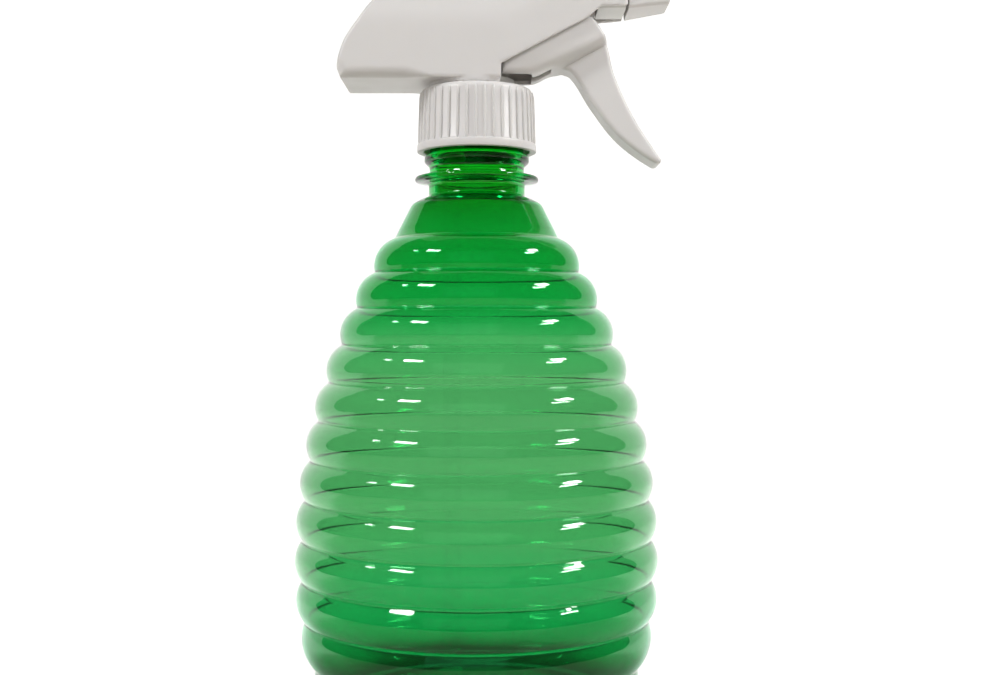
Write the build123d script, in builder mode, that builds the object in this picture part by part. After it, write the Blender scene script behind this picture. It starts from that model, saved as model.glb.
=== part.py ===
from build123d import *
import os
from math import cos, sin, sqrt

# Trigger spray bottle. Millimetres, +Z up, nozzle towards +X.
# Origin: centre of the ring that the bottle stands on.

# ---------------------------------------------------------------- bottle
ENVELOPE_RADIUS = 160.0    # side view: arc through the bottoms of all grooves
BELLY_R = 46.2             # largest groove radius
BELLY_Z = 38.3             # height of the largest radius
RING_PITCH = 10.5          # along the envelope arc
RING_COUNT = 11
RING_BULGE = 2.1           # how far a ring stands out of its chord
BELLY_RING = 8.5           # ring number, counted from the top, at BELLY_Z
GROOVE_ROUND = 0.8
HEEL_R = 42.9              # last groove and the straight wall below it
HEEL_GROOVE_Z = 10.6
HEEL_ROUND = 5.0
WALL = 0.7
STAND_R = 34.0             # ring that the bottle stands on
PUSH_UP = 4.0              # height of the raised middle of the base
SHOULDER_R = 17.6
SHOULDER_Z = 131.6
NECK_R = 12.85
NECK_Z = 134.0
NECK_BORE_R = 10.87
NECK_TOP_Z = 159.5
SUPPORT_RING_R = 16.5
SUPPORT_RING_Z = 137.9
SUPPORT_RING_THICK = 1.5
BEAD_R = 14.0
BEAD_Z = 143.3
BEAD_THICK = 1.6

# ---------------------------------------------------------------- neck thread
THREAD_PITCH = 3.18
THREAD_ROOT_R = 12.47
THREAD_CREST_R = 13.7
THREAD_TURNS = 1.5
THREAD_START_Z = 150.3
THREAD_ROOT_HALF = 1.05    # half the ridge's height at its root
THREAD_CREST_HALF = 0.5
THREAD_SINK = 0.2          # how far a ridge is sunk into its wall

# ---------------------------------------------------------------- collar
COLLAR_BOTTOM_Z = 145.9
COLLAR_TOP_Z = 162.6
COLLAR_BOTTOM_R = 15.95
COLLAR_TOP_R = 15.3
COLLAR_BORE_R = 14.05
COLLAR_BODY_R = 15.0       # wall between the ribs
COLLAR_BAND = 2.1          # plain band below the ribs
COLLAR_RIBS = 40
COLLAR_RIB_WIDTH = 0.8
COLLAR_WEB = 1.1           # inward web that clamps the pump flange
COLLAR_THROAT_R = 10.6
COLLAR_CREST_R = 12.85
COLLAR_ROOT_HALF = 0.75
COLLAR_CREST_HALF = 0.35
COLLAR_THREAD_TURNS = 1.25
COLLAR_THREAD_GAP = 0.05   # between the collar's ridge and the bottle's ridge above it

# ---------------------------------------------------------------- pump
GASKET_Z = NECK_TOP_Z
GASKET_THICK = 0.8
GASKET_R = 13.3
FLANGE_Z = GASKET_Z + GASKET_THICK
FLANGE_R = 13.5
FLANGE_THICK = 1.1
FLANGE_TOP_Z = FLANGE_Z + FLANGE_THICK
THROAT_R = 10.1
PLATFORM_Z = 165.0         # top of the solid base that carries cylinder and riser
SKIRT_DEPTH = 3.5          # plug of the pump body inside the neck
SKIRT_Z = FLANGE_Z - SKIRT_DEPTH
RISER_X = -6.6             # upright passage, above the dip tube
RISER_R = 3.4
RISER_BORE_R = 1.3
CYLINDER_Z = 172.0
CYLINDER_R = 6.4
CYLINDER_BORE_R = 5.4
CYLINDER_REAR_X = -3.4
CYLINDER_FRONT_X = 8.0
CYLINDER_END_WALL = 1.2
PUMP_WALL = 1.3
PORT_R = 0.9               # passage from the riser into the cylinder
BARREL_Z = 190.5           # outlet passage and nozzle axis
BARREL_R = 3.6
BARREL_BORE_R = 1.5
BARREL_REAR_X = -11.0
SOCKET_HALF = 7.3          # square block behind the nozzle cap
SOCKET_X = 32.0
SOCKET_FRONT_X = 39.3
NOSE_R = 4.7               # round nose that the cap turns on
NOSE_FRONT_X = 47.0
VALVE_BORE_R = 3.0
VALVE_BORE_X = 33.5
SEAL_X = 42.5              # groove in the nose for the nozzle's seal ring
SEAL_LENGTH = 1.2
SEAL_DEPTH = 0.7
SWIRL_REAR_X = 43.5
SWIRL_FRONT_X = 46.9
SWIRL_CHAMBER = 0.6        # depth of the round chamber in the insert's face

# ---------------------------------------------------------------- intake
ADAPTER_R = 2.6
ADAPTER_TOP_Z = 165.5
HOLDER_R = 3.3             # sleeve that grips the dip tube
HOLDER_END_Z = 146.0
BALL_R = 1.5
BALL_SEAT_R = 0.9
BALL_SEAT_Z = 159.0
BALL_CHAMBER_R = 1.9
TUBE_R = 2.3
TUBE_BORE_R = 1.6
TUBE_TOP_Z = 156.5
TUBE_END_Z = 12.0
STRAINER_WALL = 0.9
STRAINER_DEPTH = 4.0       # below the end of the tube
STRAINER_GRIP = 7.0        # along the tube

# ---------------------------------------------------------------- trigger
PIVOT_X = 27.0
PIVOT_Z = 188.5
TRUNNION_R = 1.8
TRUNNION_END_Y = 5.9
PIVOT_FIT = 0.05           # radial running clearance on the trunnions
CHEEK_HALF = 10.7          # half width over the two cheeks
STEM_HALF = 4.6            # half width where the lever leaves the cheeks
TIP_HALF = 6.0
CHEEK_WALL = 1.5
TRIGGER_GAP = 0.4          # between the cheeks and the inside of the shroud
PUSH_FACE_X = 18.0         # face of the rib that the plunger rests against
PUSH_RIB = 1.6
ARM_INNER_Y = 4.1
ARM_OUTER_Y = 5.7
CYLINDER_SLOT = 7.0        # half widths of the slots in the underside
ROD_SLOT = 2.9
CYLINDER_FLOOR = ((6.0, 160), (14.6, 160), (14.6, 166.9), (6.0, 166.9))
ROD_FLOOR = ((14.6, 160), (26.0, 160), (26.0, 168.2), (20.6, 168.9), (14.6, 166.9))
PUSH_RIB_Z = 168.6
PUSH_RIB_HEIGHT = 8.4
EDGE_START = (6.5, 167.4)  # lower edge of the shroud, which the cheeks follow
EDGE_END = (28.7, 179.6)
EDGE_NOSE = (32.5, 183.0)
EDGE_FRONT_Z = 183.5
FLARE_START = 1.0          # distance below the edge where the cheeks begin to turn in
FLARE_LENGTH = 6.5
FLARE_REACH = 70.0         # the flare's section runs this far each way along the edge
LEVER_LENGTH = 60.0        # from the edge to past the lever's tip

# ---------------------------------------------------------------- plunger and its spring
ROD_R = 3.4
ROD_BORE_R = 2.5
ROD_BORE_END_X = 10.5
ROD_REAR_X = 4.0
ROD_STEP_X = 12.5
ROD_STEP = 0.9
ROD_TIP_R = 2.2
ROD_TIP_X = PUSH_FACE_X - 0.1
CUP_REAR_X = 4.4
CUP_FRONT_X = 7.0
CUP_LIP = 0.6
CUP_GROOVE_R = 3.1
GUIDE_REAR_X = 7.2
GUIDE_RIM = 0.6
GUIDE_FIT = 0.05
SPRING_R = 1.95
SPRING_WIRE_R = 0.4
SPRING_COILS = 6
OUTLET_SPRING_R = 1.7
OUTLET_SPRING_WIRE_R = 0.25
OUTLET_SPRING_COILS = 5

# ---------------------------------------------------------------- shroud
SHROUD_HALF = 13.0
SHROUD_FRONT_HALF = 9.0
SHROUD_TAPER_X = 8.0       # behind this the sides are parallel
SHROUD_REAR_X = -36.2
SHROUD_FRONT_X = 39.6
SHROUD_FLOOR_Z = 163.9
SHROUD_TOP_Z = 201.0
SHROUD_WALL = 1.3
SLOT_HALF = 10.9           # opening in the floor for the pump's throat, open to the front
LOCATING_RIM_R = 13.0      # rim under the floor, round the throat
LOCATING_RIM_Z = 162.9
CREASE_Z = 179.5           # where the sides turn inwards to the top
TOP_HALF = 8.6

# ---------------------------------------------------------------- nozzle
CAP_REAR_X = 39.9
CAP_FRONT_X = 51.0
CAP_REAR_HALF = 7.6
CAP_FRONT_HALF = 5.9
JET_R = 0.4
DISH_R = 2.6               # shallow dish round the jet hole
DISH_DEPTH = 0.9

# Cutting bodies run this far past the piece that they shape.
PAST = 1.0
HEAD_SPAN = 40.0           # wider than the head, centred on it
HEAD_LENGTH = 100.0        # longer than the head
HEAD_TALL = 260.0          # taller than the bottle with its head

os.makedirs("parts", exist_ok=True)


def save(part, name):
    """Label a finished piece and write it to its own file."""
    part.label = name
    export_step(part, f"parts/{name}.step")


def x_plane(x, z):
    """A plane across the nozzle axis direction, at height z."""
    return Plane(origin=(x, 0, z), x_dir=(0, 1, 0), z_dir=(1, 0, 0))


def ring_x(x_from, x_to, outer_r, inner_r, z):
    """A tube along X."""
    with BuildPart() as tube:
        with BuildSketch(x_plane(x_from, z)):
            Circle(outer_r)
            if inner_r > 0:
                Circle(inner_r, mode=Mode.SUBTRACT)
        extrude(amount=x_to - x_from)
    return tube.part


def ring_z(z_from, z_to, outer_r, inner_r, x=0.0):
    """A tube along Z."""
    with BuildPart() as tube:
        with BuildSketch(Plane((x, 0, z_from))):
            Circle(outer_r)
            if inner_r > 0:
                Circle(inner_r, mode=Mode.SUBTRACT)
        extrude(amount=z_to - z_from)
    return tube.part


# ================================================================ bottle
def groove(number, inset):
    """Bottom of a groove, counted from the shoulder, moved inwards by inset."""
    turn = (BELLY_RING - number) * RING_PITCH / ENVELOPE_RADIUS
    reach = ENVELOPE_RADIUS - inset
    return (BELLY_R - ENVELOPE_RADIUS + reach * cos(turn), BELLY_Z + reach * sin(turn))


def crown(upper, lower):
    """Top of the ring between two grooves."""
    run = (lower[0] - upper[0], lower[1] - upper[1])
    length = sqrt(run[0] ** 2 + run[1] ** 2)
    middle = ((upper[0] + lower[0]) / 2, (upper[1] + lower[1]) / 2)
    return (middle[0] - run[1] / length * RING_BULGE, middle[1] + run[0] / length * RING_BULGE)


def ring_line(inset):
    """The stack of convex rings from the shoulder groove to the heel groove."""
    points = [groove(number, inset) for number in range(RING_COUNT)]
    points.append((HEEL_R - inset, HEEL_GROOVE_Z))
    for upper, lower in zip(points, points[1:]):
        ThreePointArc(upper, crown(upper, lower), lower)
    return points


def dome_line(raise_by):
    """The raised middle of the base, part of a sphere centred on the axis."""
    dome_r = (STAND_R ** 2 + PUSH_UP ** 2) / (2 * PUSH_UP)
    half_way = STAND_R / 2
    sag = dome_r - sqrt(dome_r ** 2 - half_way ** 2)
    ThreePointArc((STAND_R, raise_by), (half_way, PUSH_UP - sag + raise_by), (0, PUSH_UP + raise_by))


def round_grooves(sketch, inset):
    """Soften the creases between the rings."""
    inner = [v for v in sketch.vertices() if HEEL_GROOVE_Z - 0.5 < v.Z < SHOULDER_Z - 5 and v.X > 5]
    fillet(inner, GROOVE_ROUND + inset * 0.5)


def bottle_body():
    """Outside of the bottle, up to the bottom of the neck."""
    with BuildPart() as body:
        with BuildSketch(Plane.XZ) as outline:
            with BuildLine():
                points = ring_line(0)
                heel_start = (HEEL_R, HEEL_ROUND)
                heel_end = (HEEL_R - HEEL_ROUND, 0)
                Line(points[-1], heel_start)
                RadiusArc(heel_start, heel_end, HEEL_ROUND)
                Line(heel_end, (STAND_R, 0))
                dome_line(0)
                Polyline((0, PUSH_UP), (0, NECK_Z), (NECK_R, NECK_Z), (SHOULDER_R, SHOULDER_Z), points[0])
            make_face()
            round_grooves(outline, 0)
        revolve(axis=Axis.Z)
    return body.part


def bottle_hollow():
    """Inside of the bottle, up to the bottom of the neck."""
    with BuildPart() as hollow:
        with BuildSketch(Plane.XZ) as outline:
            with BuildLine():
                points = ring_line(WALL)
                inner_round = HEEL_ROUND - WALL
                heel_start = (HEEL_R - WALL, HEEL_ROUND)
                heel_end = (HEEL_R - HEEL_ROUND, WALL)
                Line(points[-1], heel_start)
                RadiusArc(heel_start, heel_end, inner_round)
                Line(heel_end, (STAND_R, WALL))
                crest = PUSH_UP + WALL
                dome_line(WALL)
                shoulder = (SHOULDER_R - WALL, SHOULDER_Z - WALL)
                Polyline((0, crest), (0, NECK_Z), (NECK_BORE_R, NECK_Z - 1.5), shoulder, points[0])
            make_face()
            round_grooves(outline, WALL)
        revolve(axis=Axis.Z)
    return hollow.part


def thread_ridge(root_r, root_half, crest_r, crest_half, start_z, turns):
    """A helical ridge, with root_half and crest_half as half its height there."""
    with BuildPart() as ridge:
        with BuildLine() as path:
            Helix(THREAD_PITCH, THREAD_PITCH * turns, root_r, center=(0, 0, start_z))
        start = Plane(origin=path.line @ 0, x_dir=(1, 0, 0), z_dir=path.line % 0)
        depth = crest_r - root_r
        with BuildSketch(start):
            with BuildLine():
                Polyline(
                    (0, -root_half), (depth, -crest_half), (depth, crest_half), (0, root_half), close=True)
            make_face()
        sweep(path=path.line, is_frenet=True)
    return ridge.part


def build_bottle():
    ridge = thread_ridge(
        THREAD_ROOT_R - THREAD_SINK, THREAD_ROOT_HALF, THREAD_CREST_R, THREAD_CREST_HALF,
        THREAD_START_Z, THREAD_TURNS)
    with BuildPart() as bottle:
        add(bottle_body())
        with BuildSketch(Plane.XZ):
            with BuildLine():
                ring_top = SUPPORT_RING_Z + SUPPORT_RING_THICK
                bead_top = BEAD_Z + BEAD_THICK
                Polyline(
                    (0, NECK_Z - 1), (NECK_R, NECK_Z - 1), (NECK_R, SUPPORT_RING_Z - 0.5),
                    (SUPPORT_RING_R - 0.2, SUPPORT_RING_Z + 0.2), (SUPPORT_RING_R, SUPPORT_RING_Z + 0.5),
                    (SUPPORT_RING_R, ring_top - 0.3), (SUPPORT_RING_R - 0.3, ring_top),
                    (NECK_R - 0.2, ring_top), (NECK_R - 0.2, BEAD_Z - 1.4), (BEAD_R, BEAD_Z),
                    (BEAD_R, bead_top), (THREAD_ROOT_R, bead_top), (THREAD_ROOT_R, NECK_TOP_Z),
                    (0, NECK_TOP_Z), close=True)
            make_face()
        revolve(axis=Axis.Z)
        add(ridge)
        add(bottle_hollow(), mode=Mode.SUBTRACT)
        with BuildSketch(Plane.XY.offset(NECK_Z - 2)):
            Circle(NECK_BORE_R)
        extrude(amount=NECK_TOP_Z - NECK_Z + 3, mode=Mode.SUBTRACT)
    save(bottle.part, "bottle")


# ================================================================ collar
def build_collar():
    """Screw collar: ribbed wall, inward web at the top and a thread inside."""
    # the ridge sits just below the bottle's ridge, which it pulls down on
    start_z = THREAD_START_Z - THREAD_PITCH / 2 - COLLAR_THREAD_GAP
    ridge = thread_ridge(
        COLLAR_BORE_R + THREAD_SINK, COLLAR_ROOT_HALF, COLLAR_CREST_R, COLLAR_CREST_HALF,
        start_z, COLLAR_THREAD_TURNS)
    with BuildPart() as collar:
        with BuildSketch(Plane.XY.offset(COLLAR_BOTTOM_Z + COLLAR_BAND)):
            Circle(COLLAR_BODY_R)
            with PolarLocations(COLLAR_BODY_R, COLLAR_RIBS):
                Rectangle(2.4, COLLAR_RIB_WIDTH)
        extrude(amount=COLLAR_TOP_Z - COLLAR_BOTTOM_Z - COLLAR_BAND)
        with BuildSketch(Plane.XZ):
            with BuildLine():
                Polyline(
                    (0, COLLAR_BOTTOM_Z), (COLLAR_BOTTOM_R, COLLAR_BOTTOM_Z),
                    (COLLAR_TOP_R, COLLAR_TOP_Z - 0.8), (COLLAR_TOP_R - 0.9, COLLAR_TOP_Z),
                    (0, COLLAR_TOP_Z), close=True)
            make_face()
        revolve(axis=Axis.Z, mode=Mode.INTERSECT)
        with BuildSketch(Plane.XY.offset(COLLAR_BOTTOM_Z)):
            Circle(COLLAR_BOTTOM_R - 0.05)
        extrude(amount=COLLAR_BAND)
        with BuildSketch(Plane.XY.offset(COLLAR_BOTTOM_Z)):
            Circle(COLLAR_BORE_R)
        web_z = COLLAR_TOP_Z - COLLAR_WEB
        extrude(amount=web_z - COLLAR_BOTTOM_Z, mode=Mode.SUBTRACT)
        with BuildSketch(Plane.XY.offset(web_z - PAST)):
            Circle(COLLAR_THROAT_R)
        extrude(amount=COLLAR_WEB + 2 * PAST, mode=Mode.SUBTRACT)
        add(ridge)
    save(collar.part, "collar")


# ================================================================ pump body and its small parts
def build_gasket():
    with BuildPart() as gasket:
        add(ring_z(GASKET_Z, FLANGE_Z, GASKET_R, NECK_BORE_R + 0.13))
    save(gasket.part, "neck_gasket")


def build_pump_body():
    """Flange, riser, cylinder, outlet barrel, nozzle socket and trunnions in one moulding."""
    bore_front = CYLINDER_FRONT_X + PAST
    bore_rear = CYLINDER_REAR_X + CYLINDER_END_WALL
    with BuildPart() as body:
        add(ring_z(FLANGE_Z, FLANGE_TOP_Z, FLANGE_R, 0))
        add(ring_z(SKIRT_Z, PLATFORM_Z, THROAT_R, 0))
        add(ring_z(PLATFORM_Z - 1, BARREL_Z, RISER_R, 0, RISER_X))
        add(ring_x(CYLINDER_REAR_X, CYLINDER_FRONT_X, CYLINDER_R, 0, CYLINDER_Z))
        # web between the platform and the cylinder
        with BuildSketch(Plane.XY.offset(PLATFORM_Z - 1)):
            with Locations((0.5, 0)):
                Rectangle(14, 6)
        extrude(amount=CYLINDER_Z - PLATFORM_Z)
        # rib that stiffens the riser up to the barrel
        with BuildSketch(Plane.XZ):
            with BuildLine():
                Polyline(
                    (RISER_X, CYLINDER_Z), (0, CYLINDER_Z), (9, BARREL_Z), (RISER_X, BARREL_Z), close=True)
            make_face()
        extrude(amount=1.0, both=True)
        add(ring_x(BARREL_REAR_X, SOCKET_X, BARREL_R, 0, BARREL_Z))
        with BuildSketch(x_plane(SOCKET_X, BARREL_Z)):
            RectangleRounded(2 * SOCKET_HALF, 2 * SOCKET_HALF, 1.5)
        extrude(amount=SOCKET_FRONT_X - SOCKET_X)
        add(ring_x(SOCKET_FRONT_X, NOSE_FRONT_X, NOSE_R, 0, BARREL_Z))
        with BuildSketch(Plane((PIVOT_X, 0, PIVOT_Z), x_dir=(1, 0, 0), z_dir=(0, 1, 0))):
            Circle(TRUNNION_R)
        extrude(amount=TRUNNION_END_Y, both=True)
        # passages
        add(ring_z(ADAPTER_TOP_Z - 1, BARREL_Z, RISER_BORE_R, 0, RISER_X), mode=Mode.SUBTRACT)
        add(ring_z(SKIRT_Z - PAST, ADAPTER_TOP_Z, ADAPTER_R, 0, RISER_X), mode=Mode.SUBTRACT)
        add(ring_x(bore_rear, bore_front, CYLINDER_BORE_R, 0, CYLINDER_Z), mode=Mode.SUBTRACT)
        add(ring_x(RISER_X, bore_rear + PAST, PORT_R, 0, CYLINDER_Z), mode=Mode.SUBTRACT)
        add(ring_x(BARREL_REAR_X - 1, VALVE_BORE_X + 1, BARREL_BORE_R, 0, BARREL_Z), mode=Mode.SUBTRACT)
        add(ring_x(VALVE_BORE_X, NOSE_FRONT_X + 1, VALVE_BORE_R, 0, BARREL_Z), mode=Mode.SUBTRACT)
        seal_groove = ring_x(SEAL_X, SEAL_X + SEAL_LENGTH, NOSE_R + PAST, NOSE_R - SEAL_DEPTH, BARREL_Z)
        add(seal_groove, mode=Mode.SUBTRACT)
        # hollow under the platform, beside the tube adapter
        with BuildSketch(Plane.XY.offset(SKIRT_Z - PAST)):
            Circle(THROAT_R - PUMP_WALL)
            with Locations((RISER_X, 0)):
                Circle(ADAPTER_R + PUMP_WALL, mode=Mode.SUBTRACT)
        extrude(amount=PLATFORM_Z - SKIRT_Z - PUMP_WALL, mode=Mode.SUBTRACT)
    save(body.part, "pump_body")


def build_nozzle_seal():
    with BuildPart() as seal:
        add(ring_x(SEAL_X, SEAL_X + SEAL_LENGTH, NOSE_R + 0.15, NOSE_R - SEAL_DEPTH, BARREL_Z))
    save(seal.part, "nozzle_seal")


def build_tube_adapter():
    """Intake seat above, dip tube socket below."""
    with BuildPart() as adapter:
        add(ring_z(SKIRT_Z - PAST, ADAPTER_TOP_Z, ADAPTER_R, 0, RISER_X))
        add(ring_z(HOLDER_END_Z, SKIRT_Z, HOLDER_R, 0, RISER_X))
        add(ring_z(BALL_SEAT_Z, ADAPTER_TOP_Z, BALL_CHAMBER_R, 0, RISER_X), mode=Mode.SUBTRACT)
        add(ring_z(TUBE_TOP_Z, BALL_SEAT_Z, BALL_SEAT_R, 0, RISER_X), mode=Mode.SUBTRACT)
        add(ring_z(HOLDER_END_Z, TUBE_TOP_Z, TUBE_R, 0, RISER_X), mode=Mode.SUBTRACT)
    save(adapter.part, "tube_adapter")


def build_inlet_ball():
    centre_z = BALL_SEAT_Z + sqrt(BALL_R ** 2 - BALL_SEAT_R ** 2) + 0.03
    with BuildPart() as ball:
        with Locations((RISER_X, 0, centre_z)):
            Sphere(BALL_R)
    save(ball.part, "inlet_ball")


def build_dip_tube():
    with BuildPart() as tube:
        add(ring_z(TUBE_END_Z, TUBE_TOP_Z, TUBE_R, TUBE_BORE_R, RISER_X))
    save(tube.part, "dip_tube")


def build_strainer():
    """Small cup with slots, pushed over the end of the dip tube."""
    outer = TUBE_R + STRAINER_WALL
    low = TUBE_END_Z - STRAINER_DEPTH
    with BuildPart() as strainer:
        add(ring_z(low, TUBE_END_Z + STRAINER_GRIP, outer, TUBE_R, RISER_X))
        add(ring_z(low, low + 1, outer, 0, RISER_X))
        with Locations((RISER_X, 0, low + 2.3)):
            Box(2 * outer + 1, 1.0, 1.6, mode=Mode.SUBTRACT)
            Box(1.0, 2 * outer + 1, 1.6, mode=Mode.SUBTRACT)
    save(strainer.part, "tube_strainer")


def build_passage_plug():
    with BuildPart() as plug:
        add(ring_x(BARREL_REAR_X, BARREL_REAR_X + 3, BARREL_BORE_R, 0, BARREL_Z))
        add(ring_x(BARREL_REAR_X - 0.8, BARREL_REAR_X, BARREL_BORE_R + 1, 0, BARREL_Z))
    save(plug.part, "passage_plug")


# ================================================================ plunger
def build_cylinder_guide():
    with BuildPart() as guide:
        add(ring_x(GUIDE_REAR_X, CYLINDER_FRONT_X, CYLINDER_BORE_R, ROD_R + GUIDE_FIT, CYLINDER_Z))
        add(ring_x(CYLINDER_FRONT_X, CYLINDER_FRONT_X + GUIDE_RIM,
                   CYLINDER_R, ROD_R + GUIDE_FIT, CYLINDER_Z))
    save(guide.part, "cylinder_guide")


def build_plunger_rod():
    """Hollow rod, open to the rear for the spring, with a domed tip."""
    with BuildPart() as rod:
        with BuildSketch(Plane.XZ):
            with BuildLine():
                dome_x = ROD_TIP_X - ROD_TIP_R
                axis_z = CYLINDER_Z
                Polyline(
                    (ROD_BORE_END_X, axis_z), (ROD_BORE_END_X, axis_z + ROD_BORE_R),
                    (ROD_REAR_X, axis_z + ROD_BORE_R), (ROD_REAR_X, axis_z + ROD_R),
                    (ROD_STEP_X, axis_z + ROD_R), (ROD_STEP_X + ROD_STEP, axis_z + ROD_TIP_R),
                    (dome_x, axis_z + ROD_TIP_R))
                CenterArc((dome_x, axis_z), ROD_TIP_R, 0, 90)
                Line((ROD_TIP_X, axis_z), (ROD_BORE_END_X, axis_z))
            make_face()
        revolve(axis=Axis((0, 0, CYLINDER_Z), (1, 0, 0)))
        # groove that holds the cup
        add(ring_x(CUP_REAR_X, CUP_FRONT_X, ROD_R + PAST, CUP_GROOVE_R, CYLINDER_Z), mode=Mode.SUBTRACT)
    save(rod.part, "plunger_rod")


def build_plunger_cup():
    """Sealing cup with a lip at each end."""
    seal_r = CYLINDER_BORE_R - 0.04
    with BuildPart() as cup:
        add(ring_x(CUP_REAR_X, CUP_FRONT_X, seal_r, CUP_GROOVE_R, CYLINDER_Z))
        waist = ring_x(
            CUP_REAR_X + CUP_LIP, CUP_FRONT_X - CUP_LIP, seal_r + PAST, seal_r - CUP_LIP, CYLINDER_Z)
        add(waist, mode=Mode.SUBTRACT)
    save(cup.part, "plunger_cup")


def coil_spring(plane, length, coil_r, wire_r, coils):
    """A coil spring that starts on the plane and rises along its normal."""
    pitch = (length - 2 * wire_r) / coils
    with BuildPart() as spring:
        with BuildLine() as path:
            Helix(pitch, pitch * coils, coil_r, center=(0, 0, wire_r))
        with BuildSketch(Plane(origin=path.line @ 0, x_dir=(1, 0, 0), z_dir=path.line % 0)):
            Circle(wire_r)
        sweep(path=path.line, is_frenet=True)
    return spring.part.moved(plane.location)


def build_return_spring():
    rear_x = CYLINDER_REAR_X + CYLINDER_END_WALL
    part = coil_spring(
        x_plane(rear_x + 0.1, CYLINDER_Z), ROD_BORE_END_X - rear_x - 0.2,
        SPRING_R, SPRING_WIRE_R, SPRING_COILS)
    save(part, "return_spring")


# ================================================================ outlet valve and nozzle
def build_outlet_valve():
    """Small poppet that rests over the end of the outlet passage."""
    with BuildPart() as valve:
        add(ring_x(VALVE_BORE_X + 0.05, VALVE_BORE_X + 1.2, 2.3, 0, BARREL_Z))
        add(ring_x(VALVE_BORE_X + 1.2, VALVE_BORE_X + 3.6, 1.0, 0, BARREL_Z))
    save(valve.part, "outlet_valve")


def build_outlet_spring():
    rear_x = VALVE_BORE_X + 1.25
    part = coil_spring(
        x_plane(rear_x, BARREL_Z), SWIRL_REAR_X - rear_x - 0.1,
        OUTLET_SPRING_R, OUTLET_SPRING_WIRE_R, OUTLET_SPRING_COILS)
    save(part, "outlet_spring")


def build_spinner():
    """Swirl insert: a plug with two slots along it and a swirl chamber in its face."""
    chamber_x = SWIRL_FRONT_X - SWIRL_CHAMBER
    with BuildPart() as spinner:
        add(ring_x(SWIRL_REAR_X, SWIRL_FRONT_X, VALVE_BORE_R, 0, BARREL_Z))
        with Locations(((SWIRL_REAR_X + SWIRL_FRONT_X) / 2, 0, BARREL_Z)):
            Box(SWIRL_FRONT_X - SWIRL_REAR_X + PAST, 1.0, 2 * VALVE_BORE_R + PAST, mode=Mode.SUBTRACT)
        add(ring_x(SWIRL_REAR_X, chamber_x, VALVE_BORE_R - 0.8, 0, BARREL_Z))
        add(ring_x(chamber_x, SWIRL_FRONT_X, 1.2, 0, BARREL_Z), mode=Mode.SUBTRACT)
    save(spinner.part, "spinner")


def build_nozzle_cap():
    """Square cap that turns on the round nose, tapering to the front."""
    with BuildPart() as cap:
        with BuildSketch(x_plane(CAP_REAR_X, BARREL_Z)):
            RectangleRounded(2 * CAP_REAR_HALF, 2 * CAP_REAR_HALF, 1.2)
        with BuildSketch(x_plane(CAP_FRONT_X, BARREL_Z)):
            RectangleRounded(2 * CAP_FRONT_HALF, 2 * CAP_FRONT_HALF, 1.0)
        loft()
        fillet(cap.faces().sort_by(Axis.X)[-1].edges(), 0.6)
        add(ring_x(CAP_REAR_X - PAST, NOSE_FRONT_X + 0.2, NOSE_R + 0.2, 0, BARREL_Z), mode=Mode.SUBTRACT)
        add(ring_x(NOSE_FRONT_X, CAP_FRONT_X + PAST, JET_R, 0, BARREL_Z), mode=Mode.SUBTRACT)
        add(ring_x(CAP_FRONT_X - DISH_DEPTH, CAP_FRONT_X + PAST, DISH_R, 0, BARREL_Z), mode=Mode.SUBTRACT)
    save(cap.part, "nozzle_cap")


# ================================================================ shroud
def shroud_side(inset, floor_z, front_x):
    """Side outline of the cover, drawn inset inside its outer face, down to a flat floor."""
    with BuildSketch(Plane.XZ.offset(-HEAD_SPAN / 2)) as side:
        with BuildLine():
            rear_low = (SHROUD_REAR_X + inset, SHROUD_FLOOR_Z + 2.6)
            rear_mid = (-30.2 + inset * 0.9, CREASE_Z)
            rear_top = (-8.0, SHROUD_TOP_Z - 2.6 - inset)
            crest = (12.0, SHROUD_TOP_Z - inset)
            front_top = (front_x, SHROUD_TOP_Z - 1.4 - inset)
            ThreePointArc(rear_low, (-34.2 + inset * 0.95, 173.4), rear_mid)
            Spline(rear_mid, (-21.5 + inset * 0.7, 189.6 - inset * 0.6), rear_top, crest, front_top,
                   tangents=((0.55, 0.84), (1, -0.06)))
            Polyline(front_top, (front_x, floor_z), (SHROUD_REAR_X + 1.2 + inset, floor_z), rear_low)
        make_face()
    return side.sketch


def shroud_plan(inset):
    """Plan outline: parallel at the rear, tapering towards the nozzle."""
    with BuildSketch(Plane.XY) as plan:
        with BuildLine():
            half = SHROUD_HALF - inset
            front = SHROUD_FRONT_HALF - inset
            front_x = SHROUD_FRONT_X + 2
            Polyline(
                (SHROUD_REAR_X - 2, -half), (SHROUD_TAPER_X, -half), (front_x, -front),
                (front_x, front), (SHROUD_TAPER_X, half), (SHROUD_REAR_X - 2, half), close=True)
        make_face()
    return plan.sketch


def shroud_section(inset):
    """Section across the head: upright sides that lean in above the crease."""
    with BuildSketch(x_plane(SHROUD_REAR_X - 2, 0)) as section:
        with BuildLine():
            half = SHROUD_HALF - inset + 0.01
            top = TOP_HALF - inset
            Polyline(
                (-half, SHROUD_FLOOR_Z - 20), (half, SHROUD_FLOOR_Z - 20), (half, CREASE_Z),
                (top, SHROUD_TOP_Z + 1), (-top, SHROUD_TOP_Z + 1), (-half, CREASE_Z), close=True)
        make_face()
    return section.sketch


def shroud_block(inset, floor_z, front_x):
    """Solid of the cover's outline, inset inside its outer face."""
    with BuildPart() as block:
        extrude(shroud_side(inset, floor_z, front_x), amount=HEAD_SPAN, dir=(0, -1, 0))
        extrude(shroud_plan(inset), amount=HEAD_TALL, dir=(0, 0, 1), mode=Mode.INTERSECT)
        extrude(shroud_section(inset), amount=HEAD_LENGTH, dir=(1, 0, 0), mode=Mode.INTERSECT)
    return block.part


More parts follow.
